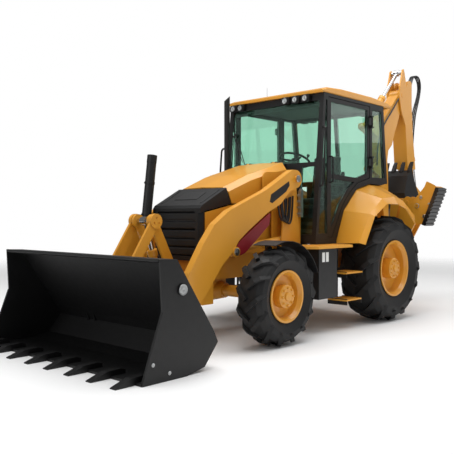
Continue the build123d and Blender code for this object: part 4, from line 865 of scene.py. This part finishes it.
def tread_studs(draw):
    """Pressed studs of the deck and the step treads, which give a boot its grip."""
    stud = [(0, 9), (4, 7), (4, 4), (1, 3), (1, 0)]
    for side in (1, -1):
        spots = [(x, y, 975) for x in range(900, 1740, 42) for y in range(720, 980, 40)]
        for z in (660, 350):
            spots += [(x, y, z) for x in range(740, 1020, 40) for y in range(790, 1010, 40)]
        for x, y, z in spots:
            turned(draw, stud, at(x, side * y, z), (0, 0, 1), 8)


piece("tread_studs", tread_studs, yellow_enamel, "chassis")

# ---- hoses ------------------------------------------------------------------------------------

HOSE = 22
for side, side_name in ((1, "left"), (-1, "right")):
    for i in range(4):
        y, lean = side * (549 + 9 * (i % 2)), 34 * i
        route = [
            at(1690 - lean, y, 1430 + 22 * i), at(1672 - lean, y, 1340), at(1640 - lean, y, 1262 - 12 * i),
            at(1580 - lean, y, 1248 - 12 * i), at(1545 - lean, y, 1330), at(1535 - lean, y, 1500 + 10 * i),
        ]  # fmt: skip
        tube(f"lift_hose_{side_name}_{i + 1}", route, HOSE, hose_rubber, "chassis")


def valve_blocks(draw):
    """Pipe fittings on each tower: an upright block, its ports and a cap on top."""
    for side in (1, -1):
        low, high = sorted((side * 534.5, side * 578))
        slab(draw, [(1262, 1290), (1306, 1290), (1306, 1590), (1262, 1590)], low, high, side_point)
        for z in (1330, 1400, 1470, 1540):
            port = [(0, 19), (22, 19), (22, 13), (40, 13), (40, 0)]
            turned(draw, port, at(1306, side * 556, z), (1, 0, 0), 6)
        cap = [(0, 24), (10, 24), (10, 16), (26, 16), (26, 0)]
        turned(draw, cap, at(1284, side * 556, 1590), (0, 0, 1), 6)


piece("valve_blocks", valve_blocks, zinc_plate, "chassis", 3)
for i in range(3):
    y = 40 + 28 * i
    route = [
        at(-2275, y, 3330), at(-2330, y + 6, 3520), at(-2440, y + 10, 3578), at(-2560, y + 12, 3560),
        at(-2640 + 14 * i, y + 12, 3430), at(-2600 + 12 * i, y + 10, 3260), at(-2500, y + 8, 3080),
        at(-2440, y + 6, 2940), at(-2405, y + 4, 2760), at(-2380, y, 2560), at(-2365, y, 2380),
    ]  # fmt: skip
    tube(f"stick_hose_{i + 1}", route, HOSE, hose_rubber, "stick")
for side in (1, -1):
    route = [
        at(-1235, side * 100, 2060), at(-1225, side * 104, 2300), at(-1330, side * 104, 2560),
        at(-1500, side * 104, 2760), at(-1720, side * 104, 2960), at(-1880, side * 104, 3130),
    ]  # fmt: skip
    tube(f"boom_hose_{'left' if side > 0 else 'right'}", route, HOSE, hose_rubber, "boom")
for i, y in enumerate((-78, 78)):
    route = [at(2900, y, 610), at(2960, y, 730), at(2990, y, 820), at(3030, y, 900)]
    tube(f"tilt_hose_{i + 1}", route, 18, hose_rubber, "tilt_barrel")

# ---- floor, light and camera --------------------------------------------------------------------


def floor_mesh(draw):
    reach = 60
    corners = ((-reach, -reach), (reach, -reach), (reach, reach), (-reach, reach))
    draw.faces.new([draw.verts.new((x, y, 0)) for x, y in corners])


def studio_floor():
    """Painted studio floor: nearly white, faintly clouded, thinning out into the backdrop far away."""
    material, tree, place = blank("studio_floor")
    flat = add(tree, "ShaderNodeVectorMath", {0: place}, operation="LENGTH").outputs["Value"]
    far = add(
        tree,
        "ShaderNodeMapRange",
        {"Value": flat, "From Min": 6.5, "From Max": 15},
        interpolation_type="SMOOTHSTEP",
    )
    clouds = add(tree, "ShaderNodeTexNoise", {"Vector": place, "Scale": per_metre(1500), "Detail": 2})
    tint = add(
        tree,
        "ShaderNodeMix",
        {"Factor": clouds.outputs["Fac"], "A": linear("#F1F1F1"), "B": linear("#F5F5F5")},
        data_type="RGBA",
    )
    look = {"Base Color": tint.outputs["Result"], "Roughness": 0.7}
    paint = add(tree, "ShaderNodeBsdfPrincipled", look)
    clear = add(tree, "ShaderNodeBsdfTransparent")
    ends = {"Fac": far.outputs["Result"], 1: paint.outputs[0], 2: clear.outputs[0]}
    blend = add(tree, "ShaderNodeMixShader", ends)
    add(tree, "ShaderNodeOutputMaterial", {"Surface": blend.outputs[0]})
    return material


floor = bpy.data.objects.new("floor", mesh_of("floor", floor_mesh))
floor.data.materials.append(studio_floor())
floor.location.z = cad_box[0].z
bpy.context.scene.collection.objects.link(floor)

world = bpy.data.worlds.new("studio")
bpy.context.scene.world = world
world.use_nodes = True
sky = world.node_tree
sky.nodes.clear()
path = add(sky, "ShaderNodeLightPath").outputs
seen = {0: path["Is Camera Ray"], 1: path["Is Transmission Ray"]}
seen = add(sky, "ShaderNodeMath", seen, operation="MAXIMUM")
# the backdrop is white to the eye, lights the machine softly and is dimmer in its glossy sides
SKY_LIGHT, SKY_GLOSS = 0.5, 0.16
sky_side = {"Value": path["Is Glossy Ray"], "To Min": SKY_LIGHT, "To Max": SKY_GLOSS}
dim = add(sky, "ShaderNodeMapRange", sky_side).outputs["Result"]
bright = add(sky, "ShaderNodeMapRange", {"Value": seen.outputs[0], "To Min": dim, "To Max": 1})
glow = add(
    sky, "ShaderNodeBackground", {"Color": (1, 1, 1, 1), "Strength": bright.outputs["Result"]}
)
add(sky, "ShaderNodeOutputWorld", {"Surface": glow.outputs[0]})

for name, spot, aim, size, watts in (
    ("overhead", (0.5, 0.5, 8), (0.4, 0, 0), 8, 710),
    ("front", (9, -1, 4), (1, 0, 1), 5, 120),
    ("rear", (-8, 5, 6), (-1, 0, 1.5), 6, 120),
):
    lamp = bpy.data.lights.new(name, "AREA")
    lamp.size, lamp.energy = size, watts
    light = bpy.data.objects.new(name, lamp)
    light.location = spot
    light.rotation_euler = (Vector(aim) - Vector(spot)).to_track_quat("-Z", "Y").to_euler()
    bpy.context.scene.collection.objects.link(light)

lens = bpy.data.cameras.new("camera")
lens.lens, lens.sensor_width = 51.05, 36
camera = bpy.data.objects.new("camera", lens)
camera.location = at(7289, 4977, 1288)
heading, pitch = 3.8899, -0.015
sight = Vector((cos(heading) * cos(pitch), sin(heading) * cos(pitch), sin(pitch)))
camera.rotation_euler = sight.to_track_quat("-Z", "Y").to_euler()
bpy.context.scene.collection.objects.link(camera)
bpy.context.scene.camera = camera
bpy.context.scene.view_settings.view_transform = "Standard"
